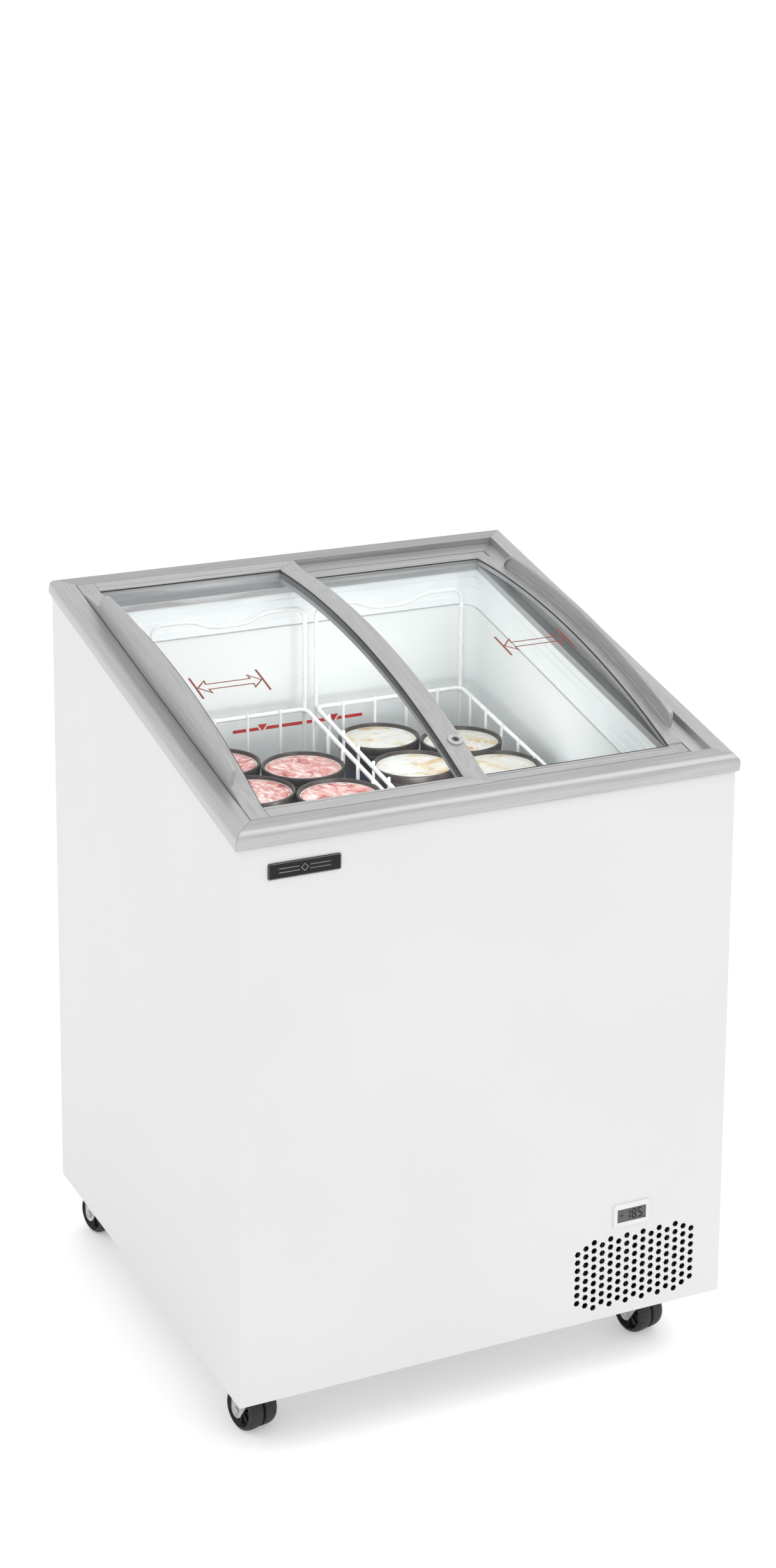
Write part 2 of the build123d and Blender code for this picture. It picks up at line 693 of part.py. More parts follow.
def make_basket(side):
    """Wire basket with a tall carrying loop at the back. side is -1 for the left one."""
    x0, x1 = sorted((side * BASKET_INNER_X, side * BASKET_OUTER_X))
    floor = TANK_FLOOR + CLEAR + WIRE
    y0, y1 = BODY_CENTRE_Y - BASKET_HALF_DEPTH, BODY_CENTRE_Y + BASKET_HALF_DEPTH
    gap = RIM_WIRE + 0.1
    panels = [
        cross_panel(x0, x1, y0, floor),
        cross_panel(x0, x1, y1, floor),
        side_panel(x0 + WIRE, y0 + gap, y1 - gap, floor),
        side_panel(x1 - WIRE, y0 + gap, y1 - gap, floor),
        basket_floor(x0 + 2 * WIRE + 0.1, x1 - 2 * WIRE - 0.1, y0 + gap, y1 - gap, floor),
    ]
    foot = rim_height(y1) + RIM_WIRE + 0.1
    shoulder = HANDLE_TOP - HANDLE_CORNER
    left, right = x0 + RIM_WIRE, x1 - RIM_WIRE
    uprights = [
        rod((left, y1, foot), (left, y1, shoulder - 0.1), RIM_WIRE),
        rod((right, y1, foot), (right, y1, shoulder - 0.1), RIM_WIRE),
    ]
    centre = (left + right) / 2
    route = [
        (left, y1, shoulder),
        (left, y1, HANDLE_TOP),
        (centre - 48, y1, HANDLE_TOP),
        (centre - 24, y1, HANDLE_TOP - HANDLE_DIP),
        (centre + 24, y1, HANDLE_TOP - HANDLE_DIP),
        (centre + 48, y1, HANDLE_TOP),
        (right, y1, HANDLE_TOP),
        (right, y1, shoulder),
    ]
    grip = tube_along(route, RIM_WIRE, 12.0)
    return panels + uprights + [grip]


TUB_SPOTS = {
    -1: ((-150.0, 144.0), (-61.0, 92.0), (-150.0, 36.0), (-61.0, -15.0)),
    1: ((69.0, 154.0), (157.0, 101.0), (64.0, 42.0), (156.9, -1.0)),
}
TUB_FLOOR = TANK_FLOOR + CLEAR + 2 * WIRE + 0.1


def make_tub(x, y, z):
    """Tapered round tub standing at z, and its wide press-on lid."""
    shoulder = TUB_HEIGHT - TUB_LID_HEIGHT
    body = Cone(TUB_BASE_RADIUS, TUB_TOP_RADIUS, shoulder, align=(Align.CENTER, Align.CENTER, Align.MIN))
    lid_height = TUB_LID_HEIGHT - TUB_STACK_GAP
    lid = Pos(0, 0, shoulder + lid_height / 2) * Cylinder(TUB_LID_RADIUS, lid_height)
    return [Pos(x, y, z) * body, Pos(x, y, z) * lid]


def make_tubs(side):
    """Four staggered stacks of tubs, three high, in the back half of one basket."""
    tubs = []
    for x, y in TUB_SPOTS[side]:
        for layer in range(TUB_LAYERS):
            tubs.extend(make_tub(x, BODY_CENTRE_Y + y, TUB_FLOOR + layer * TUB_HEIGHT))
    return tubs


# ---- Casters -----------------------------------------------------------------------------------
def caster_plate():
    """Top plate with the fixed half of the swivel race and the kingpin."""
    top = Pos(0, 0, BODY_BOTTOM - PLATE_THICKNESS / 2) * Box(
        2 * PLATE_HALF, 2 * PLATE_HALF, PLATE_THICKNESS
    )
    top = fillet(top.edges().filter_by(Axis.Z), PLATE_CORNER)
    race_height = BODY_BOTTOM - PLATE_THICKNESS - RACE_BOTTOM
    race = Pos(0, 0, RACE_BOTTOM + race_height / 2) * Cylinder(RACE_RADIUS, race_height)
    return top + race


def caster_fork():
    """Swivel head and the two side plates that carry the axle, trailing along +Y."""
    head = Pos(0, 0, (HEAD_TOP + HEAD_BOTTOM) / 2) * Cylinder(HEAD_RADIUS, HEAD_TOP - HEAD_BOTTOM)
    hollow_top = HEAD_TOP - FORK_SHEET
    head -= Pos(0, 0, (HEAD_BOTTOM + hollow_top) / 2) * Cylinder(
        HEAD_RADIUS - FORK_SHEET, hollow_top - HEAD_BOTTOM
    )
    (back, front), (back_low, front_low) = CHEEK
    corners = ((back, hollow_top), (front, hollow_top), (front, back_low), (back, front_low))
    cheek = make_hull(
        [
            *Polyline(*corners, close=True).edges(),
            *(Pos(WHEEL_TRAIL, WHEEL_RADIUS) * Circle(CHEEK_TIP)).edges(),
        ]
    )
    outer = FORK_INNER + FORK_SHEET
    fork = head
    for x in (-outer, FORK_INNER):
        fork += extrude(along_trail(x) * cheek, amount=FORK_SHEET)
    fork += block(-outer, outer, DECK_FRONT, front, hollow_top, HEAD_TOP)
    axle_hole = trail_circle(WHEEL_TRAIL, WHEEL_RADIUS, AXLE_RADIUS)
    pin_hole = trail_circle(*PEDAL_PIVOT, PEDAL_PIN)
    for hole in (axle_hole, pin_hole):
        fork -= extrude(along_trail(-BIG / 2) * hole, amount=BIG)
    return fork


def along_trail(x):
    """Upright plane across the caster at this X, drawn in (along the trail, height)."""
    return Plane(origin=(x, 0, 0), x_dir=(0, 1, 0), z_dir=(1, 0, 0))


def trail_circle(along, height, radius):
    return Pos(along, height) * Circle(radius)


def caster_axle():
    """Axle pin with a domed rivet head outside each side plate."""
    outer = FORK_INNER + FORK_SHEET
    radius, height, rounding = RIVET_HEAD
    head = Pos(0, 0, outer + height / 2) * Cylinder(radius, height)
    head = fillet(head.edges().filter_by(GeomType.CIRCLE).sort_by(Axis.Z)[-1], rounding)
    pin = Cylinder(AXLE_RADIUS, 2 * outer) + head + Rot(180, 0, 0) * head
    return Pos(0, WHEEL_TRAIL, WHEEL_RADIUS) * Rot(0, 90, 0) * pin


def pedal_pin():
    """Pin through both side plates, which the brake pedal turns on."""
    outer = FORK_INNER + FORK_SHEET
    return extrude(along_trail(-outer) * trail_circle(*PEDAL_PIVOT, PEDAL_PIN), amount=2 * outer)


def caster_wheel(side):
    """One wheel of the twin pair: rounded tread, dished outer face and a hub."""
    inner = WHEEL_GAP / 2
    outer = inner + WHEEL_WIDTH
    bore = AXLE_RADIUS + SHAFT_CLEAR
    rim = WHEEL_RADIUS - TREAD_ROUND
    tread = Polyline((inner, bore), (inner, WHEEL_RADIUS - 1.5), (inner + 1.5, WHEEL_RADIUS))
    crown = Line((inner + 1.5, WHEEL_RADIUS), (outer - TREAD_ROUND, WHEEL_RADIUS))
    shoulder = JernArc((outer - TREAD_ROUND, WHEEL_RADIUS), (1, 0), TREAD_ROUND, -90)
    dish = Polyline(
        (outer, rim),
        (outer, rim - 1.5),
        (outer - 7, rim - 3.5),
        (outer - 7, 7.5),
        (outer, 6.5),
        (outer, bore),
        (inner, bore),
    )
    section = make_face(tread + crown + shoulder + dish)
    wheel = revolve(Plane.XY * section, axis=Axis.X)
    if side < 0:
        wheel = Rot(0, 0, 180) * wheel
    return Pos(0, WHEEL_TRAIL, WHEEL_RADIUS) * wheel


def caster_pedal():
    """Brake pedal: a hub on the pin, an arm with the brake shoe, and a foot pad."""
    along, height = PEDAL_PIVOT
    reach = FORK_INNER - CLEAR
    hub = extrude(along_trail(-reach) * trail_circle(along, height, PEDAL_HUB), amount=2 * reach)
    arm_half, arm_depth = PEDAL_ARM[0] / 2, PEDAL_ARM[1] / 2
    pad_half = PEDAL_PAD[0] / 2
    shoe_half = PEDAL_SHOE[0] / 2
    arm = block(-arm_half, arm_half, along, PEDAL_ARM[2], height - arm_depth, height + arm_depth)
    shoe = block(-shoe_half, shoe_half, *PEDAL_SHOE[1:], height)
    pad = block(-pad_half, pad_half, *PEDAL_PAD[1:])
    pad = fillet(pad.edges().filter_by(Axis.X), 2.0)
    bore = trail_circle(along, height, PEDAL_PIN + SHAFT_CLEAR)
    return hub + arm + shoe + pad - extrude(along_trail(-BIG / 2) * bore, amount=BIG)


CASTERS = {
    "front_left": (-CASTER_X, CASTER_FRONT_Y, True),
    "front_right": (CASTER_X, CASTER_FRONT_Y, True),
    "back_left": (-CASTER_X, CASTER_BACK_Y, False),
    "back_right": (CASTER_X, CASTER_BACK_Y, False),
}


def save_casters():
    plates = []
    for place, (x, y, braked) in CASTERS.items():
        swivel = Location((x, y, 0), (0, 0, CASTER_HEADING))
        plates.append(Pos(x, y, 0) * caster_plate())
        pins = [caster_axle(), pedal_pin()]
        save(f"caster_fork_{place}", swivel * caster_fork(), *[swivel * pin for pin in pins])
        save(f"caster_wheel_{place}_a", swivel * caster_wheel(-1))
        save(f"caster_wheel_{place}_b", swivel * caster_wheel(1))
        if braked:
            save(f"brake_pedal_{place}", swivel * caster_pedal())
    save("caster_plates", *plates)


# ---- Front fittings ----------------------------------------------------------------------------
def make_badge():
    plate = Box(*BADGE_SIZE[:2], BADGE_SIZE[2])
    plate = fillet(plate.edges().filter_by(Axis.Z), 2.0)
    spot = Pos(BADGE_CENTRE[0], FRONT_Y - BADGE_SIZE[2] / 2, BADGE_CENTRE[1])
    return spot * Rot(90, 0, 0) * plate


def make_thermometer():
    """Snap-in bezel with its housing behind the panel, and the display in its window."""
    spot = Pos(BEZEL_CENTRE[0], FRONT_Y, BEZEL_CENTRE[1]) * Rot(90, 0, 0)
    face = Pos(0, 0, BEZEL_PROUD / 2) * Box(*BEZEL_SIZE, BEZEL_PROUD)
    face = fillet(face.edges().filter_by(Axis.Z), 2.5)
    face = chamfer(face.faces().sort_by(Axis.Z)[-1].edges(), 1.0)
    back = Pos(0, 0, -METER_DEPTH / 2) * Box(WINDOW_SIZE[0] + 5, WINDOW_SIZE[1] + 5, METER_DEPTH)
    recess = Pos(0, 0, 0.5) * Box(*WINDOW_SIZE, 3.0)
    display = Pos(0, 0, 0.1) * Box(WINDOW_SIZE[0], WINDOW_SIZE[1], 2.2)
    return spot * (face + back - recess), spot * display


# ---- Refrigeration and fan ---------------------------------------------------------------------
def make_compressor():
    """Hermetic shell with a flat foot plate and three stubs."""
    x, y = COMPRESSOR
    low = DECK + FOOT_HEIGHT
    shell = Pos(x, y, low + COMPRESSOR_HEIGHT / 2) * Cylinder(COMPRESSOR_RADIUS, COMPRESSOR_HEIGHT)
    shell = fillet(shell.edges().filter_by(GeomType.CIRCLE), COMPRESSOR_CROWN)
    foot = Pos(x, y, low + FOOT_PLATE[2] / 2) * Box(*FOOT_PLATE)
    return shell + foot


def make_compressor_feet():
    """Rubber feet under the corners of the foot plate."""
    x, y = COMPRESSOR
    reach_x = FOOT_PLATE[0] / 2 - FOOT_RADIUS
    reach_y = FOOT_PLATE[1] / 2 - FOOT_RADIUS
    foot = Cylinder(FOOT_RADIUS, FOOT_HEIGHT)
    spots = [(x + dx, y + dy) for dx in (-reach_x, reach_x) for dy in (-reach_y, reach_y)]
    return [Pos(*spot, DECK + FOOT_HEIGHT / 2) * foot for spot in spots]


def make_condenser():
    """Finned block between two end plates, with a stub for the pipe at the top."""
    x0, x1 = CONDENSER_X
    y0, y1 = CONDENSER_Y
    z0, z1 = CONDENSER_Z
    core = block(x0, x1, y0 + 10, y1 - 10, z0 + 4, z1 - 4)
    for x in spaced(x0 + 2, x1 - 2, FIN_PITCH):
        core += block(x - 0.5, x + 0.5, y0, y1, z0 + 4, z1 - 4)
    core += block(x0 - 2, x0, y0, y1, DECK, z1)
    core += block(x1, x1 + 2, y0, y1, DECK, z1)
    return core


def make_fan_shroud():
    """Upright plate with a round throat, a foot, and a strut that carries the motor."""
    x, y, z = FAN_CENTRE
    half = SHROUD_HALF
    plate = block(x - half, x + half, y - 6, y - 4, DECK, z + half)
    plate -= Pos(x, y - 5, z) * Rot(90, 0, 0) * Cylinder(FAN_RADIUS + 4, 8)
    foot = block(x - half, x + half, y - 4, y + 50, DECK, DECK + 2)
    strut = block(x - 12, x + 12, y + 30, y + 32, DECK + 2, z - 24)
    return plate + foot + strut


def make_fan_motor():
    x, y, z = FAN_CENTRE
    can = Pos(x, y + 32, z) * Rot(90, 0, 0) * Cylinder(24, 34)
    can = fillet(can.edges().filter_by(GeomType.CIRCLE), 3.0)
    shaft = Pos(x, y + 6, z) * Rot(90, 0, 0) * Cylinder(FAN_SHAFT, 20)
    return can + shaft


def make_fan_blade():
    """Pressed axial fan on a hub."""
    x, y, z = FAN_CENTRE
    length = FAN_BLADE[0]
    blade = Pos(FAN_RADIUS - length / 2, 0, 0) * Rot(FAN_BLADE_PITCH, 0, 0) * Box(*FAN_BLADE)
    wheel = Cylinder(*FAN_HUB)
    wheel += [Rot(0, 0, turn * 360 / FAN_BLADES) * blade for turn in range(FAN_BLADES)]
    wheel = wheel & Cylinder(FAN_RADIUS, BIG / 10)
    wheel -= Cylinder(FAN_SHAFT + SHAFT_CLEAR, BIG / 10)
    return Pos(x, y + 4, z) * Rot(90, 0, 0) * wheel


def make_pipes():
    """Discharge line to the condenser, and suction line down from the tank."""
    x, y = COMPRESSOR
    z = DECK + FOOT_HEIGHT + 96
    shell_x = x + COMPRESSOR_RADIUS
    high = CONDENSER_Z[1] + 30
    discharge = tube_along(
        [
            (shell_x, y, z),
            (shell_x + 60, y, z),
            (shell_x + 60, y, high),
            (shell_x + 60, CONDENSER_Y[0] + 25, high),
            (CONDENSER_X[0] + 24, CONDENSER_Y[0] + 25, high),
            (CONDENSER_X[0] + 24, CONDENSER_Y[0] + 25, CONDENSER_Z[1] - 4),
        ],
        3.0,
        10.0,
    )
    shell_left = x - COMPRESSOR_RADIUS
    suction = tube_along(
        [
            (shell_left, y, z),
            (shell_left - 40, y, z),
            (shell_left - 40, y, COMPARTMENT_TOP),
        ],
        4.0,
        12.0,
    )
    return [discharge, suction]


def make_filter_drier():
    """Copper drier lying on the compartment floor in front of the compressor."""
    centre = Pos(-60, -60, DECK + 14) * Rot(0, 90, 0)
    body = centre * (Cylinder(10, 90) + Cylinder(3, 130))
    cradle = block(-70, -50, -72, -48, DECK, DECK + 8)
    cradle -= Pos(-60, -60, DECK + 14) * Rot(0, 90, 0) * Cylinder(10, 200)
    return [body, cradle]


def make_start_relay():
    x, y = COMPRESSOR
    low = DECK + FOOT_HEIGHT + 40
    front = y - COMPRESSOR_RADIUS
    return block(x - 22, x + 22, front - 26, front, low, low + 46)


def make_thermostat():
    """Thermostat on an upright bracket behind the rear cover, and its knob."""
    body = block(KNOB_X - 26, KNOB_X + 26, BACK_Y - 52, BACK_Y - 16, KNOB_Z - 22, KNOB_Z + 22)
    bracket = block(KNOB_X - 20, KNOB_X + 20, BACK_Y - 52, BACK_Y - 50, DECK, KNOB_Z - 20)
    stem = Pos(KNOB_X, BACK_Y - 14, KNOB_Z) * Rot(90, 0, 0) * Cylinder(STEM_RADIUS, 8)
    knob = Pos(KNOB_X, BACK_Y - 1.5 - KNOB_LENGTH / 2, KNOB_Z) * Rot(90, 0, 0) * Cylinder(
        KNOB_RADIUS, KNOB_LENGTH
    )
    knob = fillet(knob.edges().filter_by(GeomType.CIRCLE).sort_by(Axis.Y)[-1], 1.5)
    knob -= Pos(KNOB_X, BACK_Y - 12.5, KNOB_Z) * Rot(90, 0, 0) * Cylinder(
        STEM_RADIUS + SHAFT_CLEAR, 8
    )
    mark = block(KNOB_X - 0.8, KNOB_X + 0.8, BACK_Y - 2.5, BACK_Y, KNOB_Z + 4, KNOB_Z + KNOB_RADIUS)
    return body + bracket + stem, knob - mark


def make_cord_gland():
    """Moulded gland in the rear cover, where the mains lead comes out."""
    spot = Pos(GLAND_X, BACK_Y, GLAND_Z) * Rot(-90, 0, 0)
    shank = Pos(0, 0, -6) * Cylinder(GLAND_RADIUS, 12)
    flange = Pos(0, 0, 1) * Cylinder(GLAND_RADIUS + 3, 2)
    return spot * (shank + flange)


# ---- Build -------------------------------------------------------------------------------------
save("front_panel", make_front_panel())
save("side_panel_left", make_side_panel(-1))
save("side_panel_right", make_side_panel(1))
save("back_panel", make_back_panel())
save("rear_vent_cover", make_rear_vent_cover())
save("base_plate", make_base_plate())
save("tank_liner", make_tank_liner())
save("evaporator_coil", make_evaporator_coil())
save("breaker_frame", make_breaker_frame())
save("foam_insulation", *make_foam())

for node, solid in make_frame().items():
    save(node, solid)

for node, solids in make_lids().items():
    save(node, *solids)

lock_housing, lock_barrel = make_lock()
save("lock_housing", lock_housing)
save("lock_barrel", lock_barrel)

save("basket_left", *make_basket(-1))
save("basket_right", *make_basket(1))
save("tubs_left", *make_tubs(-1))
save("tubs_right", *make_tubs(1))

save_casters()

save("name_badge", make_badge())
thermometer_bezel, thermometer_display = make_thermometer()
save("thermometer_bezel", thermometer_bezel)
save("thermometer_display", thermometer_display)

save("compressor", make_compressor())
save("compressor_feet", *make_compressor_feet())
save("start_relay", make_start_relay())
save("condenser", make_condenser())
save("fan_shroud", make_fan_shroud())
save("fan_motor", make_fan_motor())
save("fan_blade", make_fan_blade())
save("refrigerant_pipes", *make_pipes())
save("filter_drier", *make_filter_drier())

thermostat_body, thermostat_knob = make_thermostat()
save("thermostat_body", thermostat_body)
save("thermostat_knob", thermostat_knob)
save("cord_gland", make_cord_gland())
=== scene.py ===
import math

import bmesh
import bpy
from mathutils import Matrix, Vector


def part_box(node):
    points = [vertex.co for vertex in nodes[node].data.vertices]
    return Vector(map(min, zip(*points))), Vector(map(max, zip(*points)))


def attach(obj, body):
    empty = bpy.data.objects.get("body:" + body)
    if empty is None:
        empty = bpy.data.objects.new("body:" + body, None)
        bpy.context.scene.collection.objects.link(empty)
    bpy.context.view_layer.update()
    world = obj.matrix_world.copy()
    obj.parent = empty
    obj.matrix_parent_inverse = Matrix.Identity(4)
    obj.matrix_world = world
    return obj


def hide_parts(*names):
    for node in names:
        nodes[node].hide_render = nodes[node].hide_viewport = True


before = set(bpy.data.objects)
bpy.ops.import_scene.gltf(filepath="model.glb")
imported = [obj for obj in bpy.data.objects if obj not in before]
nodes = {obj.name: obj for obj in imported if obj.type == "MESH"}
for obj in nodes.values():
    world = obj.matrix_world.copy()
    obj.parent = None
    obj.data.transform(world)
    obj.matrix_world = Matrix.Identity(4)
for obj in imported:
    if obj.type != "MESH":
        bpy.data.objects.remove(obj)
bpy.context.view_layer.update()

# Lengths are in millimetres until on_slope() or to_metres() turns them into points.
MM = 0.001
SLOPE = math.radians(11.5)
FRONT_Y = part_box("front_panel")[0].y / MM
BACK_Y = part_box("back_panel")[1].y / MM
CENTRE_Y = (FRONT_Y + BACK_Y) / 2
TOP_FRONT_Z = 727.0
DEPTH = BACK_Y - FRONT_Y


def on_slope(x, run, height):
    """Point given across the front, up the sloping top and square to it."""
    y = FRONT_Y + run * math.cos(SLOPE) - height * math.sin(SLOPE)
    z = TOP_FRONT_Z + run * math.sin(SLOPE) + height * math.cos(SLOPE)
    return Vector((x, y, z)) * MM


def to_metres(points):
    return [Vector(p) * MM for p in points]


# ---- Camera ----
CAMERA_PLACE = (-1369.42, -2934.96, 1817.85)
CAMERA_TURN = (0.45149, 0.21344, 0.00996)   # yaw, downward pitch and roll
CAMERA_LENS = 65.645
CAMERA_SENSOR = 36.0
CAMERA_SHIFT = (-0.02312, -0.24)
CAMERA_REACH = 100.0                        # metres


def add_camera():
    place = Vector(CAMERA_PLACE) * MM
    yaw, pitch, roll = CAMERA_TURN
    ahead = Vector((
        math.sin(yaw) * math.cos(pitch), math.cos(yaw) * math.cos(pitch), -math.sin(pitch)
    ))
    level = Vector((math.cos(yaw), -math.sin(yaw), 0.0))
    upright = level.cross(ahead)
    right = level * math.cos(roll) + upright * math.sin(roll)
    up = upright * math.cos(roll) - level * math.sin(roll)
    data = bpy.data.cameras.new("camera")
    camera = bpy.data.objects.new("camera", data)
    bpy.context.scene.collection.objects.link(camera)
    turn = Matrix((right, up, -ahead)).transposed().to_4x4()
    camera.matrix_world = Matrix.Translation(place) @ turn
    data.lens = CAMERA_LENS
    data.sensor_width = CAMERA_SENSOR
    data.shift_x, data.shift_y = CAMERA_SHIFT
    data.clip_end = CAMERA_REACH
    bpy.context.scene.camera = camera


# ---- Materials ----
def new_material(name):
    material = bpy.data.materials.new(name)
    material.use_nodes = True
    tree = material.node_tree
    tree.nodes.clear()
    output = tree.nodes.new("ShaderNodeOutputMaterial")
    return material, tree, output


def link(source, target):
    source.id_data.links.new(source, target)


def add_node(tree, kind, **inputs):
    """New shader node; inputs name its sockets, with _ for a space."""
    node = tree.nodes.new(f"ShaderNode{kind}")
    for socket, value in inputs.items():
        node.inputs[socket.replace("_", " ")].default_value = value
    return node


def grain(tree, size, turn=0.0, detail=4.0):
    """Noise with grains of this size in metres, one number or three; turn tilts it to the top."""
    coords = add_node(tree, "TexCoord")
    scale = size if isinstance(size, tuple) else (size,) * 3
    mapping = add_node(tree, "Mapping", Rotation=(turn, 0.0, 0.0), Scale=scale)
    mapping.vector_type = "TEXTURE"
    noise = add_node(tree, "TexNoise", Scale=1.0, Detail=detail)
    link(coords.outputs["Object"], mapping.inputs["Vector"])
    link(mapping.outputs["Vector"], noise.inputs["Vector"])
    return noise


def ramp(tree, factor, stops):
    """Colour ramp over a factor; stops are (position, colour)."""
    node = tree.nodes.new("ShaderNodeValToRGB")
    elements = node.color_ramp.elements
    while len(elements) < len(stops):
        elements.new(0.5)
    for element, (position, colour) in zip(elements, stops):
        element.position = position
        element.color = (*colour, 1.0)
    link(factor, node.inputs["Fac"])
    return node.outputs["Color"]


def spread(tree, factor, low, high, start=0.3, end=0.7):
    """Maps start to end of the factor onto low to high."""
    node = add_node(tree, "MapRange", From_Min=start, From_Max=end, To_Min=low, To_Max=high)
    link(factor, node.inputs["Value"])
    return node.outputs["Result"]


def bumped(tree, shader, factor, strength, distance):
    node = add_node(tree, "Bump", Strength=strength, Distance=distance)
    link(factor, node.inputs["Height"])
    link(node.outputs["Normal"], shader.inputs["Normal"])


def finish_of(
    name, dark, light, size, rough, bump=None, turn=0.0, detail=4.0, band=(0.35, 0.65), **sockets
):
    """Principled finish whose colour and roughness vary with the grain.

    bump is (size, strength, depth); sockets are the shader's own, with _ for a space.
    """
    material, tree, output = new_material(name)
    shader = add_node(tree, "BsdfPrincipled", **sockets)
    noise = grain(tree, size, turn, detail)
    colour = ramp(tree, noise.outputs["Fac"], [(band[0], dark), (band[1], light)])
    link(colour, shader.inputs["Base Color"])
    link(spread(tree, noise.outputs["Fac"], *rough), shader.inputs["Roughness"])
    if bump:
        fine = grain(tree, bump[0], turn, 3.0)
        bumped(tree, shader, fine.outputs["Fac"], bump[1], bump[2])
    link(shader.outputs["BSDF"], output.inputs["Surface"])
    return material


def grey(value, tint=(1.0, 1.0, 1.0)):
    return tuple(value * t for t in tint)


def glass_finish(name):
    """Thin clear pane: what is behind it shows through, with a faint cool tint and a soft gloss."""
    material, tree, output = new_material(name)
    clear = add_node(tree, "BsdfTransparent", Color=(0.985, 0.995, 0.993, 1.0))
    gloss = add_node(tree, "BsdfGlossy", Color=(0.9, 0.95, 1.0, 1.0))
    smudge = grain(tree, 0.05)
    link(spread(tree, smudge.outputs["Fac"], 0.03, 0.09), gloss.inputs["Roughness"])
    facing = add_node(tree, "LayerWeight", Blend=0.5)
    share = spread(tree, facing.outputs["Facing"], 0.015, 0.3, 0.55, 1.0)
    mix = add_node(tree, "MixShader")
    link(share, mix.inputs["Fac"])
    link(clear.outputs["BSDF"], mix.inputs[1])
    link(gloss.outputs["BSDF"], mix.inputs[2])
    link(mix.outputs["Shader"], output.inputs["Surface"])
    return material


def label_finish(name, stops, scale, swirl, folds):
    """Printed picture of whipped ice: soft clouds of colour crossed by fine pale and dark folds."""
    material, tree, output = new_material(name)
    coords = add_node(tree, "TexCoord")
    cloud = add_node(tree, "TexNoise", Scale=scale, Detail=3.0, Roughness=0.45, Distortion=swirl)
    stretch = add_node(tree, "Mapping", Scale=(1.0, 0.5, 1.0))
    stretch.vector_type = "TEXTURE"
    fold = add_node(tree, "TexNoise", Scale=1.7, Detail=4.0, Distortion=2.2)
    link(coords.outputs["UV"], cloud.inputs["Vector"])
    link(coords.outputs["UV"], stretch.inputs["Vector"])
    link(stretch.outputs["Vector"], fold.inputs["Vector"])
    mixed = add_node(tree, "Mix")
    mixed.data_type = "RGBA"
    mixed.blend_type = "OVERLAY"
    mixed.inputs["Factor"].default_value = folds
    link(ramp(tree, cloud.outputs["Fac"], stops), mixed.inputs["A"])
    shades = [(0.36, grey(0.12)), (0.52, grey(0.5)), (0.66, grey(0.95))]
    link(ramp(tree, fold.outputs["Fac"], shades), mixed.inputs["B"])
    shader = add_node(tree, "BsdfPrincipled")
    link(mixed.outputs["Result"], shader.inputs["Base Color"])
    link(spread(tree, fold.outputs["Fac"], 0.26, 0.4), shader.inputs["Roughness"])
    bumped(tree, shader, fold.outputs["Fac"], 0.15, 0.0003)
    link(shader.outputs["BSDF"], output.inputs["Surface"])
    return material


WHITE_TINT = (0.995, 0.998, 1.0)
paint = finish_of(
    "white_paint", grey(0.64, WHITE_TINT), grey(0.66, WHITE_TINT), 0.25, (0.34, 0.42),
    bump=(0.0012, 0.05, 0.0002),
)
liner_finish = finish_of(
    "tank_liner", grey(0.91, (0.965, 0.993, 0.99)), grey(0.94, (0.97, 0.996, 0.993)), 0.2,
    (0.42, 0.5), bump=(0.003, 0.06, 0.0003),
)
throat_finish = finish_of(
    "throat_plastic", grey(0.92, (0.965, 0.99, 0.995)), grey(0.95, (0.97, 0.995, 1.0)),
    0.1, (0.3, 0.38), bump=(0.0015, 0.04, 0.0002),
)
foam_finish = finish_of(
    "insulation_foam", (0.75, 0.66, 0.42), (0.85, 0.78, 0.55), 0.004, (0.8, 0.95),
    bump=(0.002, 0.5, 0.0008),
)


def brushed(name, size, turn, value):
    """Brushed aluminium, streaked along the long side of its grain. value is the bar's tone and
    holds painted light: each bar gets a lighter or darker copy for how the light falls on it.
    """
    return finish_of(
        name, grey(value * 0.84), grey(value * 1.08), size, (0.4, 0.52),
        bump=(size, 0.1, 0.0002), turn=turn, detail=6.0, band=(0.28, 0.72), Metallic=0.85,
    )


# Painted light: the same aluminium in three tones, darker on the back bar and lighter on the side
# bars, standing in for how each bar catches the light.
front_bar_painted_light = brushed("aluminium_front_painted_light", (0.12, 0.0022, 0.0022), 0.0, 0.46)
back_bar_painted_light = brushed("aluminium_back_painted_light", (0.12, 0.0022, 0.0022), 0.0, 0.43)
side_bar_painted_light = brushed("aluminium_along_painted_light", (0.0022, 0.12, 0.0022), SLOPE, 0.52)
lid_across = finish_of(
    "lid_plastic_across", grey(0.4), grey(0.47), (0.08, 0.003, 0.003), (0.38, 0.5),
    bump=((0.06, 0.0015, 0.0015), 0.05, 0.0002), turn=SLOPE, detail=5.0, Metallic=0.3,
)
lid_along = finish_of(
    "lid_plastic_along", grey(0.37), grey(0.44), (0.003, 0.08, 0.003), (0.38, 0.5),
    bump=((0.0015, 0.06, 0.0015), 0.05, 0.0002), turn=SLOPE, detail=5.0, Metallic=0.3,
)
# Painted shade: a dark copy of the lid plastic for the centre stile's left side face, which lies in
# shadow.
lid_shade = finish_of(
    "lid_side_painted_shade", grey(0.07), grey(0.17), (0.002, 0.09, 0.0009), (0.35, 0.5),
    bump=((0.001, 0.09, 0.0008), 0.2, 0.0002), turn=SLOPE, detail=5.0, Metallic=0.3,
)
glass = glass_finish("lid_glass")
glass_edge = finish_of(
    "glass_edge", (0.25, 0.4, 0.38), (0.36, 0.5, 0.48), (0.01, 0.01, 0.004), (0.15, 0.25),
)
wire_finish = finish_of(
    "coated_wire", grey(0.9, WHITE_TINT), grey(0.94, WHITE_TINT), 0.02, (0.22, 0.32),
    bump=(0.004, 0.06, 0.0002), Coat_Weight=0.4,
)
tub_finish = finish_of(
    "tub_board", (0.04, 0.031, 0.029), (0.068, 0.053, 0.05), 0.012, (0.32, 0.46),
    bump=(0.002, 0.12, 0.0002),
)
sleeve_finish = finish_of(
    "tub_sleeve", (0.05, 0.06, 0.12), (0.08, 0.09, 0.17), (0.02, 0.02, 0.004), (0.4, 0.5),
)
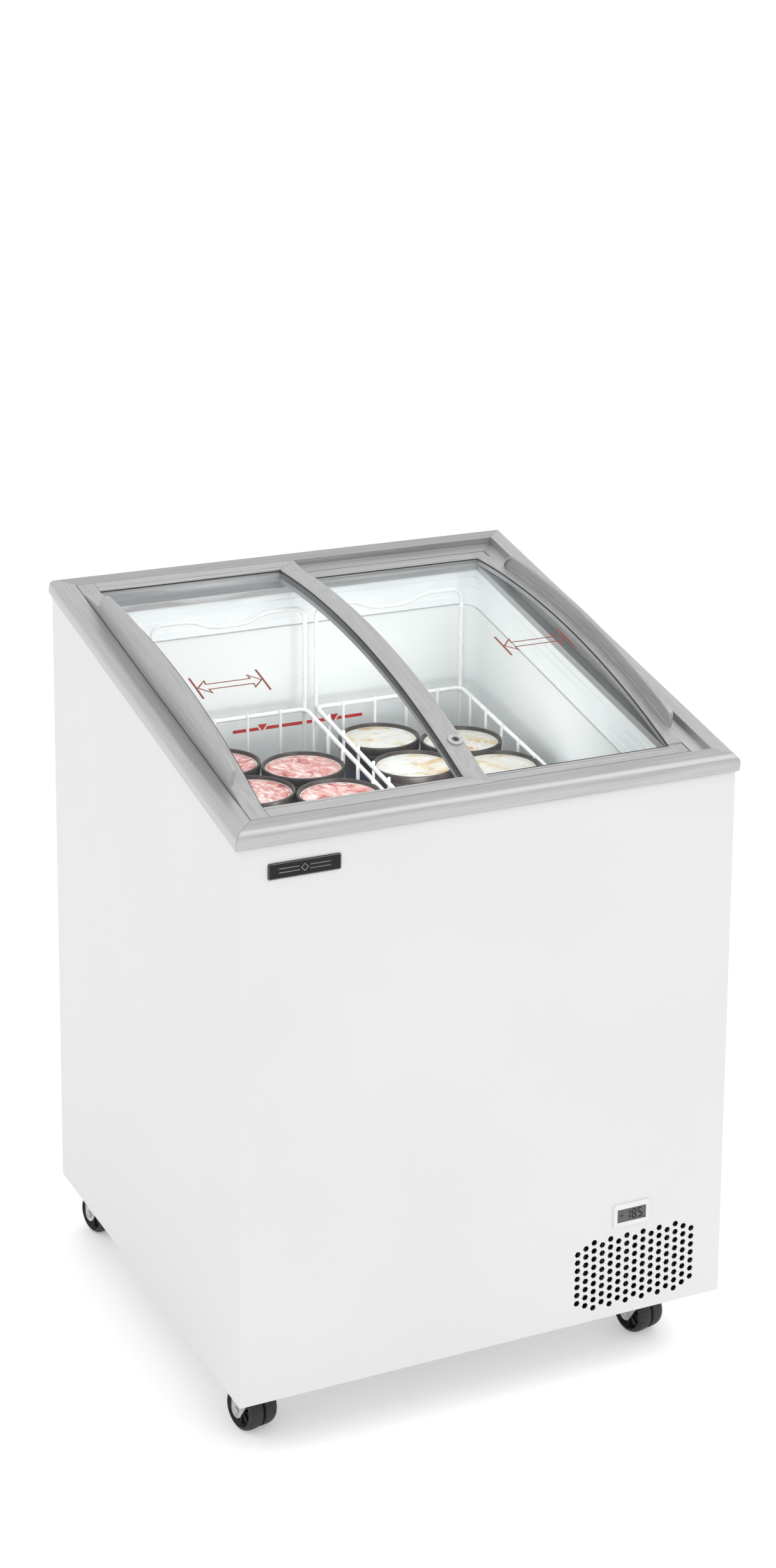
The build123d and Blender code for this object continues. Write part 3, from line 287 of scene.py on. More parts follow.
label_pink = label_finish(
    "label_pink",
    [(0.3, (0.45, 0.08, 0.07)), (0.4, (0.66, 0.27, 0.24)), (0.5, (0.74, 0.42, 0.39)),
     (0.68, (0.84, 0.64, 0.61))],
    1.5, 1.6, 0.8,
)
label_cream = label_finish(
    "label_cream",
    [(0.3, (0.6, 0.38, 0.17)), (0.4, (0.7, 0.57, 0.38)), (0.48, (0.74, 0.7, 0.63)),
     (0.7, (0.77, 0.77, 0.76))],
    1.1, 1.2, 0.3,
)
label_border = finish_of("label_border", grey(0.7), grey(0.78), 0.02, (0.3, 0.4))
zinc = finish_of(
    "zinc_plate", grey(0.36), grey(0.56, (0.99, 1.0, 1.01)), 0.007, (0.3, 0.48),
    bump=(0.0015, 0.15, 0.0002), Metallic=0.8,
)
chrome = finish_of("lock_metal", grey(0.5), grey(0.62), 0.003, (0.22, 0.34), Metallic=0.9)
bezel_finish = finish_of("bezel_plastic", grey(0.67), grey(0.7), 0.02, (0.3, 0.4))
barrel_finish = finish_of(
    "lock_barrel_metal", grey(0.09), grey(0.16), 0.002, (0.3, 0.42), Metallic=0.9,
)
badge_line = finish_of("badge_line", grey(0.16), grey(0.24), 0.02, (0.35, 0.45), Metallic=0.6)
tread_finish = finish_of(
    "wheel_tread", grey(0.022), grey(0.036), 0.004, (0.5, 0.65),
    bump=(0.001, 0.15, 0.0002), Specular_IOR_Level=0.3,
)
hub_finish = finish_of("wheel_hub", grey(0.012), grey(0.022), 0.006, (0.3, 0.45))
rubber = finish_of(
    "black_rubber", grey(0.02), grey(0.035), 0.003, (0.55, 0.75), bump=(0.0008, 0.2, 0.0002),
)
black_plastic = finish_of(
    "black_plastic", grey(0.018), grey(0.03), 0.005, (0.38, 0.5), bump=(0.0006, 0.12, 0.0001),
)
badge_finish = finish_of(
    "badge_black", grey(0.008), grey(0.014), (0.03, 0.0006, 0.002), (0.3, 0.4),
    Specular_IOR_Level=0.2,
)
black_paint = finish_of(
    "black_paint", grey(0.02), grey(0.04), 0.01, (0.35, 0.5), bump=(0.002, 0.1, 0.0003),
)
copper = finish_of(
    "copper", (0.55, 0.26, 0.16), (0.75, 0.4, 0.27), 0.012, (0.25, 0.42), Metallic=1.0,
)
display_finish = finish_of(
    "display_glass", grey(0.09), grey(0.12), 0.0012, (0.25, 0.35), Specular_IOR_Level=0.2,
)
segment_finish = finish_of(
    "display_segments", grey(0.006), grey(0.012), 0.001, (0.4, 0.5), Specular_IOR_Level=0.1,
)
red_print = finish_of("red_print", (0.62, 0.02, 0.02), (0.7, 0.035, 0.03), 0.01, (0.35, 0.45))
brown_print = finish_of(
    "brown_print", (0.2, 0.03, 0.015), (0.26, 0.045, 0.022), 0.005, (0.35, 0.45),
)
seal_finish = finish_of("grey_sealant", grey(0.42), grey(0.52), 0.004, (0.5, 0.65))
knob_finish = finish_of(
    "knob_plastic", grey(0.03), grey(0.05), 0.004, (0.35, 0.45), bump=(0.0008, 0.1, 0.0001),
)

CAD_FINISH = {
    paint: ["front_panel", "side_panel_left", "side_panel_right", "back_panel", "rear_vent_cover"],
    zinc: [
        "base_plate", "caster_plates", "caster_fork_front_left", "caster_fork_front_right",
        "caster_fork_back_left", "caster_fork_back_right", "fan_shroud", "fan_motor",
    ],
    liner_finish: ["tank_liner"],
    foam_finish: ["foam_insulation"],
    black_paint: ["compressor", "condenser"],
    rubber: ["compressor_feet", "lid_left_brush_seal"],
    black_plastic: [
        "start_relay", "cord_gland", "brake_pedal_front_left", "brake_pedal_front_right",
        "thermostat_body",
    ],
    knob_finish: ["thermostat_knob"],
    copper: ["evaporator_coil", "refrigerant_pipes", "filter_drier"],
    chrome: ["lock_housing", "fan_blade"],
    barrel_finish: ["lock_barrel"],
    bezel_finish: ["thermometer_bezel"],
    badge_finish: ["name_badge"],
    display_finish: ["thermometer_display"],
}


def paint_cad_nodes():
    for material, names in CAD_FINISH.items():
        for name in names:
            node = nodes[name]
            if not node.material_slots:
                node.data.materials.append(material)
            for slot in node.material_slots:
                slot.material = material


# ---- Mesh building ----
MERGE = 2e-6


class Build:
    """Collects closed forms into one piece. Points are Vectors in metres."""

    def __init__(self, name, body, slot, materials, stands_for=(), crease=32.0):
        self.name, self.body, self.slot = name, body, slot
        self.materials, self.stands_for, self.crease = materials, stands_for, crease
        self.bm = bmesh.new()
        self.uv = self.bm.loops.layers.uv.new("UVMap")

    def add(self, points, faces, tags):
        """tags is one material index, or one for each face."""
        made = [self.bm.verts.new(p) for p in points]
        for index, corners in enumerate(faces):
            face = self.bm.faces.new([made[i] for i in corners])
            face.material_index = tags if isinstance(tags, int) else tags[index]
        bmesh.ops.remove_doubles(self.bm, verts=made, dist=MERGE)

    def loft(self, sections, tags=0, closed=False, cap_tag=None):
        """Skin over sections with equal counts of points; tags is an index or one for each edge."""
        size = len(sections[0])
        points = [p for section in sections for p in section]
        faces, marks = [], []
        spans = len(sections) if closed else len(sections) - 1
        for i in range(spans):
            a, b = i * size, (i + 1) % len(sections) * size
            for j in range(size):
                k = (j + 1) % size
                faces.append((a + j, a + k, b + k, b + j))
                marks.append(tags if isinstance(tags, int) else tags[j])
        if not closed:
            end = tags if isinstance(tags, int) else 0
            faces.append(tuple(range(size)))
            faces.append(tuple(range(len(points) - 1, len(points) - size - 1, -1)))
            marks += [end if cap_tag is None else cap_tag] * 2
        self.add(points, faces, marks)

    def revolve(self, profile, place, segments, tag=0, closed=False, wobble=None):
        """Turned form: profile is (radius, height) along the place's Z axis, in millimetres."""
        rings = []
        for radius, height in profile:
            ring = []
            for step in range(segments):
                angle = 2 * math.pi * step / segments
                r, z = (radius, height) if wobble is None else wobble(radius, height, step)
                ring.append(place @ (Vector((r * math.cos(angle), r * math.sin(angle), z)) * MM))
            rings.append(ring)
        self.loft(rings, tag, closed=closed)

    def tube(self, path, radius, closed=False, sides=10):
        """Round wire along a path of points, with rounded ends."""
        sections = []
        count = len(path)
        side = None
        for i, point in enumerate(path):
            if closed:
                ahead = path[(i + 1) % count] - path[i - 1]
            else:
                ahead = path[min(i + 1, count - 1)] - path[max(i - 1, 0)]
            ahead.normalize()
            if side is None:
                side = ahead.orthogonal().normalized()
            side = (side - ahead * side.dot(ahead)).normalized()
            over = ahead.cross(side)
            sections.append((point, ahead.copy(), side.copy(), over))
        rings = []
        for point, ahead, side, over in sections:
            rings.append(ring_of(point, side, over, radius * MM, sides))
        if closed:
            self.loft_ring(rings)
            return
        start, end = [], []
        for share in (0.35, 0.75):
            shrink = math.sqrt(1 - share ** 2)
            for store, (point, ahead, side, over), way in (
                (start, sections[0], -1), (end, sections[-1], 1)
            ):
                centre = point + ahead * (way * share * radius * MM)
                store.append(ring_of(centre, side, over, radius * MM * shrink, sides))
        self.loft(list(reversed(start)) + rings + end)

    def loft_ring(self, rings):
        """Closed tube: the last ring is matched to the first by the closest start."""
        last, first = rings[-1], rings[0]
        size = len(first)
        best = min(range(size), key=lambda k: (last[0] - first[k]).length)
        faces = []
        points = [p for ring in rings for p in ring]
        for i in range(len(rings)):
            a = i * size
            b = (i + 1) % len(rings) * size
            turn = best if i == len(rings) - 1 else 0
            for j in range(size):
                k = (j + 1) % size
                faces.append((a + j, a + k, b + (k + turn) % size, b + (j + turn) % size))
        self.add(points, faces, 0)

    def done(self):
        bmesh.ops.recalc_face_normals(self.bm, faces=self.bm.faces)
        mesh = bpy.data.meshes.new(self.name)
        self.bm.to_mesh(mesh)
        self.bm.free()
        for material in self.materials:
            mesh.materials.append(material)
        mesh.polygons.foreach_set("use_smooth", [True] * len(mesh.polygons))
        mesh.set_sharp_from_angle(angle=math.radians(self.crease))
        piece = bpy.data.objects.new(self.name, mesh)
        bpy.context.scene.collection.objects.link(piece)
        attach(piece, self.body)
        if self.stands_for:
            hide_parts(*self.stands_for)


def ring_of(centre, side, over, radius, count):
    turns = [2 * math.pi * k / count for k in range(count)]
    return [centre + side * (math.cos(t) * radius) + over * (math.sin(t) * radius) for t in turns]


def rounded(corners, steps=3):
    """Flat outline with rounded corners; corners are (u, v, radius)."""
    outline = []
    for index, (u, v, radius) in enumerate(corners):
        here = Vector((u, v))
        if radius == 0:
            outline.append(here)
            continue
        ends = []
        for other in (corners[index - 1], corners[(index + 1) % len(corners)]):
            way = Vector(other[:2]) - here
            reach = min(radius, way.length * 0.45)
            ends.append(here + way.normalized() * reach if way.length > 1e-6 else here)
        for step in range(steps + 1):
            t = step / steps
            outline.append(ends[0] * (1 - t) ** 2 + here * (2 * t * (1 - t)) + ends[1] * t ** 2)
    return outline


def rounded_path(points, radius, closed=False, steps=5):
    """Path in space with its corners rounded."""
    path = []
    count = len(points)
    for index, point in enumerate(points):
        if not closed and index in (0, count - 1):
            path.append(point)
            continue
        ends = []
        for other in (points[index - 1], points[(index + 1) % count]):
            way = other - point
            ends.append(point + way.normalized() * min(radius * MM, way.length * 0.48))
        for step in range(steps + 1):
            t = step / steps
            path.append(ends[0] * (1 - t) ** 2 + point * (2 * t * (1 - t)) + ends[1] * t ** 2)
    return path


def spans(low, high, step):
    """Even places from low to high, both included, about one step apart."""
    count = max(1, round((high - low) / step))
    return [low + (high - low) * k / count for k in range(count + 1)]


# ---- Top frame ----
FRAME_OVERHANG = 3.5
FRAME_START = -FRAME_OVERHANG
FRAME_END = DEPTH / math.cos(SLOPE) + FRAME_OVERHANG
FRAME_HALF = 309.5
ARCH_CENTRE = (FRAME_START + FRAME_END) / 2
MITRE_GAP = 0.05
MITRE_BEVEL = 0.3
FRAME_TOP = 20.0
FRAME_FOOT = -8.0
SKIRT_DEPTH = 6.5
FLANGE = 25.5
UPPER_LEDGE = (42.0, 10.0)      # where it ends, measured inward, and its height
LOWER_LEDGE = (58.5, 0.0)
LEDGE_EDGE = 1.1
LEDGE_ROOT = 0.6
NOSE_RADIUS = 10.0
NOSE = [
    (NOSE_RADIUS * (1 - math.cos(t)), NOSE_RADIUS * (1 + math.sin(t)), 0)
    for t in (math.pi / 2 * k / 12 for k in range(13))
]
# Lit and shaded copies of the aluminium, one for each bar (painted light).
FRAME_FINISH = {
    "front": front_bar_painted_light, "back": back_bar_painted_light, "left": side_bar_painted_light, "right": side_bar_painted_light
}


def frame_profile():
    """Stepped section with two ledges: distance in from the outer face, and height."""
    steps = [(FLANGE, FRAME_TOP), UPPER_LEDGE, LOWER_LEDGE]
    outline = [(SKIRT_DEPTH, FRAME_FOOT, 0), (SKIRT_DEPTH, 0.0, 0.5), (0.0, 0.0, 0.8), *NOSE]
    for (end, height), (_, below) in zip(steps, steps[1:]):
        outline += [(end, height, LEDGE_EDGE), (end, below, LEDGE_ROOT)]
    end, height = LOWER_LEDGE
    outline += [(end, height, LEDGE_EDGE), (end, FRAME_FOOT, 0)]
    return rounded(outline, 4)


def add_frame():
    """Four bars, each with a fine bevel at its mitred ends."""
    profile = frame_profile()
    run_half = FRAME_END - ARCH_CENTRE
    bars = {
        "front": lambda d, h, way, gap: on_slope(way * (FRAME_HALF - d - gap), FRAME_START + d, h),
        "back": lambda d, h, way, gap: on_slope(way * (FRAME_HALF - d - gap), FRAME_END - d, h),
        "left": lambda d, h, way, gap: on_slope(
            -FRAME_HALF + d, ARCH_CENTRE + way * (run_half - d - gap), h
        ),
        "right": lambda d, h, way, gap: on_slope(
            FRAME_HALF - d, ARCH_CENTRE + way * (run_half - d - gap), h
        ),
    }
    steps = [(-1, True), (-1, False), (1, False), (1, True)]
    for side, place in bars.items():
        bar = Build(
            f"top_frame_{side}", "cabinet", "frame_aluminium", [FRAME_FINISH[side]],
            [f"frame_{side}"], 24.0,
        )
        sections = []
        for way, end in steps:
            outline = inset_end(profile, MITRE_BEVEL) if end else profile
            gap = MITRE_GAP + (0.0 if end else MITRE_BEVEL)
            sections.append([place(p.x, p.y, way, gap) for p in outline])
        bar.loft(sections)
        bar.done()


# ---- Lids ----
ARCH_RADIUS = 1262.5
ARCH_RISE = 26.6
STILE = 9.0
WEB = 3.0
FIN = 20.0
FIN_FRONT = 83.65
FIN_BACK = 511.65
FIN_RAMP = 22.0
FIN_CORNER = 3.0
FIN_MARKS = (-0.02, 0.0, 0.25, 0.8, 1.7, FIN_CORNER)
LIP = (6.0, 4.0)                # width and drop of the fin's lip
GLASS_DROP = 2.0
GLASS_THICKNESS = 4.0
GLASS_BITE = 2.5                # how far the pane reaches into its frame
BEAD_WIDTH = 1.3
BEAD_DROP = 0.9
END_ROUND = 0.6                 # rounding of a stile's ends
CORNER_POINTS = 4               # points that rounded() makes of a corner
SIDE_LINES = 3
LINE_PITCH = 2.2

# Grooves of a rail: how far from its inner edge, and how far under its top.
TOP_GROOVE = ((5.2, 0.0), (5.0, 0.7), (4.4, 0.7), (4.2, 0.0))
SIDE_GROOVE = ((0.0, 3.0), (0.7, 3.3), (0.7, 3.9), (0.0, 4.2))


class Lid:
    def __init__(self, body, level, foot, top, run, arch, rails):
        self.body, self.level, self.foot, self.top = body, level, foot, top
        self.s0, self.s1 = run
        self.arch0, self.arch1 = arch
        self.front_rail, self.back_rail = rails

    def arch(self, run, lift=0.0):
        centre = self.level + ARCH_RISE - ARCH_RADIUS
        return centre + math.sqrt((ARCH_RADIUS + lift) ** 2 - (run - ARCH_CENTRE) ** 2)

    def blocked(self, run):
        return run <= self.arch0 or run >= self.arch1

    def crown(self, run, lift=0.0):
        if self.blocked(run):
            return self.top + lift
        return self.arch(run, lift)

    def runs(self, extra=()):
        marks = {*spans(self.arch0, self.arch1, 13.0), *extra}
        for start, end in ((self.s0, self.s1), (self.arch0, self.arch1)):
            marks |= {start, start + END_ROUND, end - END_ROUND, end}
        return sorted(marks)


UPPER = Lid("lid_left", 20.0, 10.3, 20.0, (22.8, 590.5), (48.65, 564.65), (42.8, 571.5))
LOWER = Lid("lid_right", 9.5, 0.3, 9.7, (39.3, 574.0), (56.65, 556.65), (55.3, 555.0))
UPPER_X = (-283.2, -261.2, -22.0, 4.6)
LOWER_X = (-19.5, 4.0, 247.7, 266.7)


def inset_end(points, width=END_ROUND):
    """The section drawn in a little, for the rounded ends of a bar."""
    low = Vector((min(p.x for p in points), min(p.y for p in points)))
    high = Vector((max(p.x for p in points), max(p.y for p in points)))
    centre = (low + high) / 2
    size = high - low
    return [
        Vector((
            centre.x + (p.x - centre.x) * (size.x - 2 * width) / size.x,
            centre.y + (p.y - centre.y) * (size.y - 2 * width) / size.y,
        ))
        for p in points
    ]


def stile_sections(lid, section, place, extra):
    """Sections of a bar along the lid; section gives (u, height) and place turns u into X."""
    sections = []
    for run in lid.runs(extra):
        outline = section(run)
        if run in (lid.s0, lid.s1):
            outline = inset_end(outline)
        sections.append([on_slope(place(p.x), run, p.y) for p in outline])
    return sections


def fin_height(run):
    """Finger fin: square front with a small rounded corner, short curved ramp at the back."""
    if run < FIN_FRONT or run > FIN_BACK:
        return 0.0
    if run < FIN_FRONT + FIN_CORNER:
        gap = 1 - (run - FIN_FRONT) / FIN_CORNER
        return FIN - FIN_CORNER * (1 - math.sqrt(max(0.0, 1 - gap ** 2)))
    if run > FIN_BACK - FIN_RAMP:
        share = (FIN_BACK - run) / FIN_RAMP
        return FIN * math.sin(share * math.pi / 2) ** 0.9
    return FIN


def outer_stile(lid, name, edge, inner, stands_for):
    """Stile with its web down to the ledge and the finger fin; u counts inward from the edge."""
    way = 1 if inner > edge else -1
    width = abs(inner - edge)

    def section(run):
        fin = fin_height(run)
        crown, crest = lid.crown(run), lid.crown(run, fin)
        under = lid.foot if lid.blocked(run) else crown - STILE
        lip_width = WEB + (LIP[0] - WEB) * min(1.0, fin / 8)
        lip_foot = crest - min(LIP[1], fin * 0.9)
        return rounded([
            (0, lid.foot, 0.4), (0, crest, 1.5), (lip_width, crest, 1.7),
            (lip_width, lip_foot, 0.8), (WEB, lip_foot, 1.0), (WEB, crown, 2.2),
            (width, crown, 1.3), (width, under, 0.5), (WEB, under, 0.8), (WEB, lid.foot, 0.3),
        ])

    extra = [FIN_FRONT + mark for mark in FIN_MARKS]
    extra += spans(FIN_BACK - FIN_RAMP, FIN_BACK, 2.2)
    bar = Build(name, lid.body, "lid_plastic", [lid_along], stands_for, 28.0)
    bar.loft(stile_sections(lid, section, lambda u: edge + way * u, extra))
    bar.done()


def inner_stile(lid, name, x0, x1, stands_for, shaded_side, mitred):
    """Centre stile with fine lines on its left side; when shaded_side is set, that side takes a
    dark finish, a painted shade for the side face in shadow.
    """

    def section(run):
        crown = lid.crown(run)
        under = lid.foot if lid.blocked(run) else crown - STILE
        corners = [(x1, under, 0.5), (x1, crown, 1.2), (x0, crown, 1.2)]
        for k in range(SIDE_LINES):
            low = crown - (k + 1) * LINE_PITCH
            corners += [
                (x0, low, 0), (x0 + 0.5, low - 0.3, 0), (x0 + 0.5, low - 0.8, 0), (x0, low - 1.1, 0)
            ]
        corners.append((x0, under, 0.4))
        return rounded(corners)

    def run_at(u, run):
        """With a mitred joint the end planes lean, so the side by the glass is the shorter one."""
        if not mitred:
            return run
        share = min(1.0, max(0.0, (x1 - u) / (x1 - x0)))
        low, high = lid.front_rail, lid.back_rail
        if run < low:
            return run + share * (low - run)
        if run > high:
            return run - share * (run - high)
        return run

    sections = []
    for run in lid.runs():
        outline = section(run)
        if run in (lid.s0, lid.s1):
            outline = inset_end(outline, MITRE_BEVEL)
        sections.append([on_slope(p.x, run_at(p.x, run), p.y) for p in outline])
    bar = Build(name, lid.body, "lid_plastic", [lid_along, lid_shade], stands_for, 28.0)
    count = len(section(lid.s0))
    side = range(3 * CORNER_POINTS - 1, count - CORNER_POINTS)
    # The left side's faces get the dark painted-shade finish.
    bar.loft(sections, [int(shaded_side and k in side) for k in range(count)])
    bar.done()


def rails(lid, name, x0, x1, stands_for, mitre=0.0):
    """Front and back rails between the stiles; mitre is the reach of the leaning end at x1."""
    bar = Build(name, lid.body, "lid_plastic", [lid_across], stands_for, 28.0)
    for far, near in ((lid.s0, lid.front_rail), (lid.s1, lid.back_rail)):
        way = 1 if near > far else -1
        top, foot = lid.top, lid.foot

        def cut(groove):
            return [(near - way * u, top - v, 0) for u, v in groove]

        outline = rounded([
            (far, foot, 0.5), (far, top, 1.0), *cut(TOP_GROOVE), (near, top, 1.3),
            *cut(SIDE_GROOVE), (near, foot, 0.5),
        ])
        small = inset_end(outline, MITRE_BEVEL)

        def end_x(p, trim):
            return x1 + mitre * (near - p.x) / (near - far) - trim

        bar.loft([
            [on_slope(x0, p.x, p.y) for p in small],
            [on_slope(x0 + MITRE_BEVEL, p.x, p.y) for p in outline],
            [on_slope(end_x(p, MITRE_BEVEL), p.x, p.y) for p in outline],
            [on_slope(end_x(p, 0.0), p.x, p.y) for p in small],
        ])
    bar.done()


def pane(lid, name, x0, x1, stands_for):
    """Curved glass, with a polished greenish edge."""
    bar = Build(name, lid.body, "lid_glass", [glass, glass_edge], stands_for, 30.0)
    left, right = x0 - GLASS_BITE, x1 + GLASS_BITE
    sections = []
    for run in spans(lid.front_rail - GLASS_BITE, lid.back_rail + GLASS_BITE, 11.0):
        top = lid.arch(run) - GLASS_DROP
        low = top - GLASS_THICKNESS
        sections.append([
            on_slope(x, run, height)
            for x, height in ((left, low), (right, low), (right, top), (left, top))
        ])
    bar.loft(sections, [0, 1, 0, 1], cap_tag=1)
    bar.done()


def bead_outline(edge, way, surface):
    """Section of the bead that hides under the frame's edge and lies on the glass."""
    top, lip = surface - BEAD_DROP, edge + way * BEAD_WIDTH
    return rounded([
        (edge - way * 0.3, top - 1.3, 0), (edge - way * 0.3, top, 0.4),
        (lip, top - 0.5, 0.4), (lip, top - 1.3, 0),
    ], 2)


def gasket(lid, name, x0, x1):
    """Thin dark bead round the pane, where the glass enters its frame."""
    bar = Build(name, lid.body, "black_rubber", [rubber], (), 30.0)
    for edge, way in ((x0, 1), (x1, -1)):
        bar.loft([
            [on_slope(p.x, run, p.y) for p in bead_outline(edge, way, lid.arch(run))]
            for run in spans(lid.front_rail + 0.1, lid.back_rail - 0.1, 13.0)
        ])
    for edge, way in ((lid.front_rail, 1), (lid.back_rail, -1)):
        outline = bead_outline(edge, way, lid.arch(edge))
        ends = (x0 + BEAD_WIDTH, x1 - BEAD_WIDTH)
        bar.loft([[on_slope(x, p.x, p.y) for p in outline] for x in ends])
    bar.done()


def ribbon(build, points, width, closed, place, thickness=0.12, step=9.0):
    """Flat printed stroke along (u, v) points; place turns (u, v, height) into a point."""
    dense = []
    count = len(points)
    for i in range(count if closed else count - 1):
        a, b = Vector(points[i]), Vector(points[(i + 1) % count])
        parts = max(1, round((b - a).length / step))
        dense += [a.lerp(b, k / parts) for k in range(parts)]
    if not closed:
        dense.append(Vector(points[-1]))
    sections = []
    total = len(dense)
    for i, p in enumerate(dense):
        before = dense[i - 1] if closed or i else p - (dense[1] - p)
        after = dense[(i + 1) % total] if closed or i < total - 1 else p + (p - dense[-2])
        a, b = (p - before).normalized(), (after - p).normalized()
        normal = Vector((-(a + b).y, (a + b).x)).normalized()
        reach = width / 2 / max(0.35, normal.dot(Vector((-a.y, a.x))))
        left, right = p + normal * reach, p - normal * reach
        sections.append([
            place(left.x, left.y, 0), place(right.x, right.y, 0),
            place(right.x, right.y, thickness), place(left.x, left.y, thickness),
        ])
    build.loft(sections, closed=closed)


ARROW_BAR = (23.5, 2.7)         # half length and width of the bars
ARROW_HEAD = (12.5, 13.5)       # length and half width
ARROW_SHAFT = 5.6               # half width
ARROW_GAP = 2.0
ARROW_LINE = 1.8
PRINT_LIFT = 0.02
LEFT_ARROW = (-253.0, -171.5, 266.7)    # its two bars, and where it is up the slope
RIGHT_ARROW = (147.8, 233.0, 287.0)


def slide_arrow(lid, name, x0, x1, run):
    """Outlined double arrow between two bars: slide this way."""
    bar = Build(name, lid.body, "lid_glass", [brown_print], (), 40.0)

    def place(x, s, height):
        return on_slope(x, s, lid.arch(s) - GLASS_DROP + PRINT_LIFT + height)

    for x in (x0, x1):
        half, width = ARROW_BAR
        ribbon(bar, [(x, run - half), (x, run + half)], width, False, place)
    (head, barb), shaft = ARROW_HEAD, ARROW_SHAFT
    tip0, tip1, notch = x0 + ARROW_GAP, x1 - ARROW_GAP, head - 1.0
    outline = [
        (tip0, run), (tip0 + head, run + barb), (tip0 + notch, run + shaft),
        (tip1 - notch, run + shaft), (tip1 - head, run + barb), (tip1, run),
        (tip1 - head, run - barb), (tip1 - notch, run - shaft),
        (tip0 + notch, run - shaft), (tip0 + head, run - barb),
    ]
    ribbon(bar, outline, ARROW_LINE, True, place)
    bar.done()


def add_lids():
    a, b, c, d = UPPER_X
    outer_stile(UPPER, "left_lid_outer_stile", a, b, ["lid_left_outer_stile"])
    inner_stile(UPPER, "left_lid_centre_stile", c, d, ["lid_left_inner_stile"], True, True)
    rails(UPPER, "left_lid_rails", b, c, ["lid_left_rails"], d - c)
    pane(UPPER, "left_lid_pane", b, c, ["lid_left_glass"])
    gasket(UPPER, "left_lid_gasket", b, c)
    slide_arrow(UPPER, "left_lid_arrow", *LEFT_ARROW)
    a, b, c, d = LOWER_X
    inner_stile(LOWER, "right_lid_inner_stile", a, b, ["lid_right_inner_stile"], False, False)
    outer_stile(LOWER, "right_lid_outer_stile", d, c, ["lid_right_outer_stile"])
    rails(LOWER, "right_lid_rails", b, c, ["lid_right_rails"])
    pane(LOWER, "right_lid_pane", b, c, ["lid_right_glass"])
    gasket(LOWER, "right_lid_gasket", b, c)
    slide_arrow(LOWER, "right_lid_arrow", *RIGHT_ARROW)


# ---- Inside of the tank ----
def mouth_ring(depth, half, corner):
    """Rounded square round the tank's opening, this far below the casing's top plane."""
    low = (DEPTH / 2 - half - depth * math.sin(SLOPE)) / math.cos(SLOPE)
    high = (DEPTH / 2 + half - depth * math.sin(SLOPE)) / math.cos(SLOPE)
    outline = rounded([
        (-half, low, corner), (half, low, corner), (half, high, corner), (-half, high, corner)
    ], 6)
    return [on_slope(p.x, p.y, -depth) for p in outline]


# Depth, half width and corner radius, down the inside and back up the outside.
THROAT_LEVELS = [
    (8.0, 250.0, 5.0), (15.0, 248.9, 10.0), (15.8, 247.6, 10.5), (25.0, 246.2, 17.0),
    (25.8, 245.0, 18.0), (36.0, 243.4, 25.0), (36.8, 242.3, 26.0), (44.0, 241.2, 30.0),
    (44.8, 240.2, 31.0), (44.8, 242.0, 32.0), (8.0, 252.0, 5.0),
]
SEALANT_LEVEL = (45.6, 239.7, 30.0)
SEALANT_RADIUS = 0.7


def add_throat():
    """White plastic throat with three steps, and the sealant line where the liner starts."""
    build = Build(
        "tank_throat", "cabinet", "white_plastic", [throat_finish], ["breaker_frame"], 20.0
    )
    build.loft([mouth_ring(*level) for level in THROAT_LEVELS], closed=True)
    build.done()
    seal = Build("liner_sealant", "cabinet", "white_plastic", [seal_finish])
    seal.tube(mouth_ring(*SEALANT_LEVEL), SEALANT_RADIUS, closed=True, sides=8)
    seal.done()


LINE_Z = (657.9, 662.1)         # lower and upper edge of the filling line
LINE_X = (-93.0, 85.0)
MARK_X = (-53.0, 45.0)
MARK_Z = (656.6, 665.6)         # tip and top of the markers
MARK_HALF = 6.4
MARK_GAP = 2.6


def add_load_line():
    """Red filling line on the tank's back wall, with a white-edged marker cut into it twice."""
    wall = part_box("tank_liner")[1].y / MM - 1.0
    build = Build("load_line", "cabinet", "white_plastic", [red_print])
    (low, high), (tip, top) = LINE_Z, MARK_Z
    half, gap = MARK_HALF, MARK_GAP
    lean = half / (top - tip)

    def cut(cuts, height):
        """How far a piece of the line stays away from a marker at this height."""
        return gap + (height - tip) * lean if cuts else 0

    def shape(corners):
        build.loft([
            [Vector((x, wall - 0.05 - height, z)) * MM for x, z in corners] for height in (0, 0.12)
        ])

    ends = [(LINE_X[0], False), *((x, True) for x in MARK_X), (LINE_X[1], False)]
    for (left, cut_left), (right, cut_right) in zip(ends, ends[1:]):
        shape([
            (left + cut(cut_left, low), low), (right - cut(cut_right, low), low),
            (right - cut(cut_right, high), high), (left + cut(cut_left, high), high),
        ])
    for x in MARK_X:
        shape([(x - half, top), (x, tip), (x + half, top)])
    build.done()


# ---- Baskets and tubs ----
BASKET_X = (5.0, 213.0)
BASKET_Y = (CENTRE_Y - 211.0, CENTRE_Y + 211.0)
FLOOR_WIRE = 370.3
RIM = 2.8
HOOP = 2.0
HOOP_BEND = 12.0
HOOP_INSET = (2.2, 2.6, 3.0)    # of the rim, the middle hoop and the low hoop
CROSS_WIRE = 1.9
WIRE_PITCH = 44.0
WIRE_INSET = 5.6
WIRE_OVER_RIM = 3.0
WIRE_BEND = 9.0
RIM_BACK = 689.0
RIM_FALL = 0.14                 # the rim drops this much for each millimetre forward
HANDLE_TOP = 820.0
HANDLE_DIP = 809.0
HANDLE_FOOT = 60.0              # how far under the rim the handle starts
HANDLE_BEND = 16.0
HANDLE_WAVE = (48.0, 24.0)      # half widths of the handle's dip, at its top and bottom


def rim_height(y):
    return RIM_BACK - (BASKET_Y[1] - y) * RIM_FALL


def centred(low, high, pitch):
    count = int((high - low) / pitch)
    return [(low + high) / 2 + (i - (count - 1) / 2) * pitch for i in range(count)]


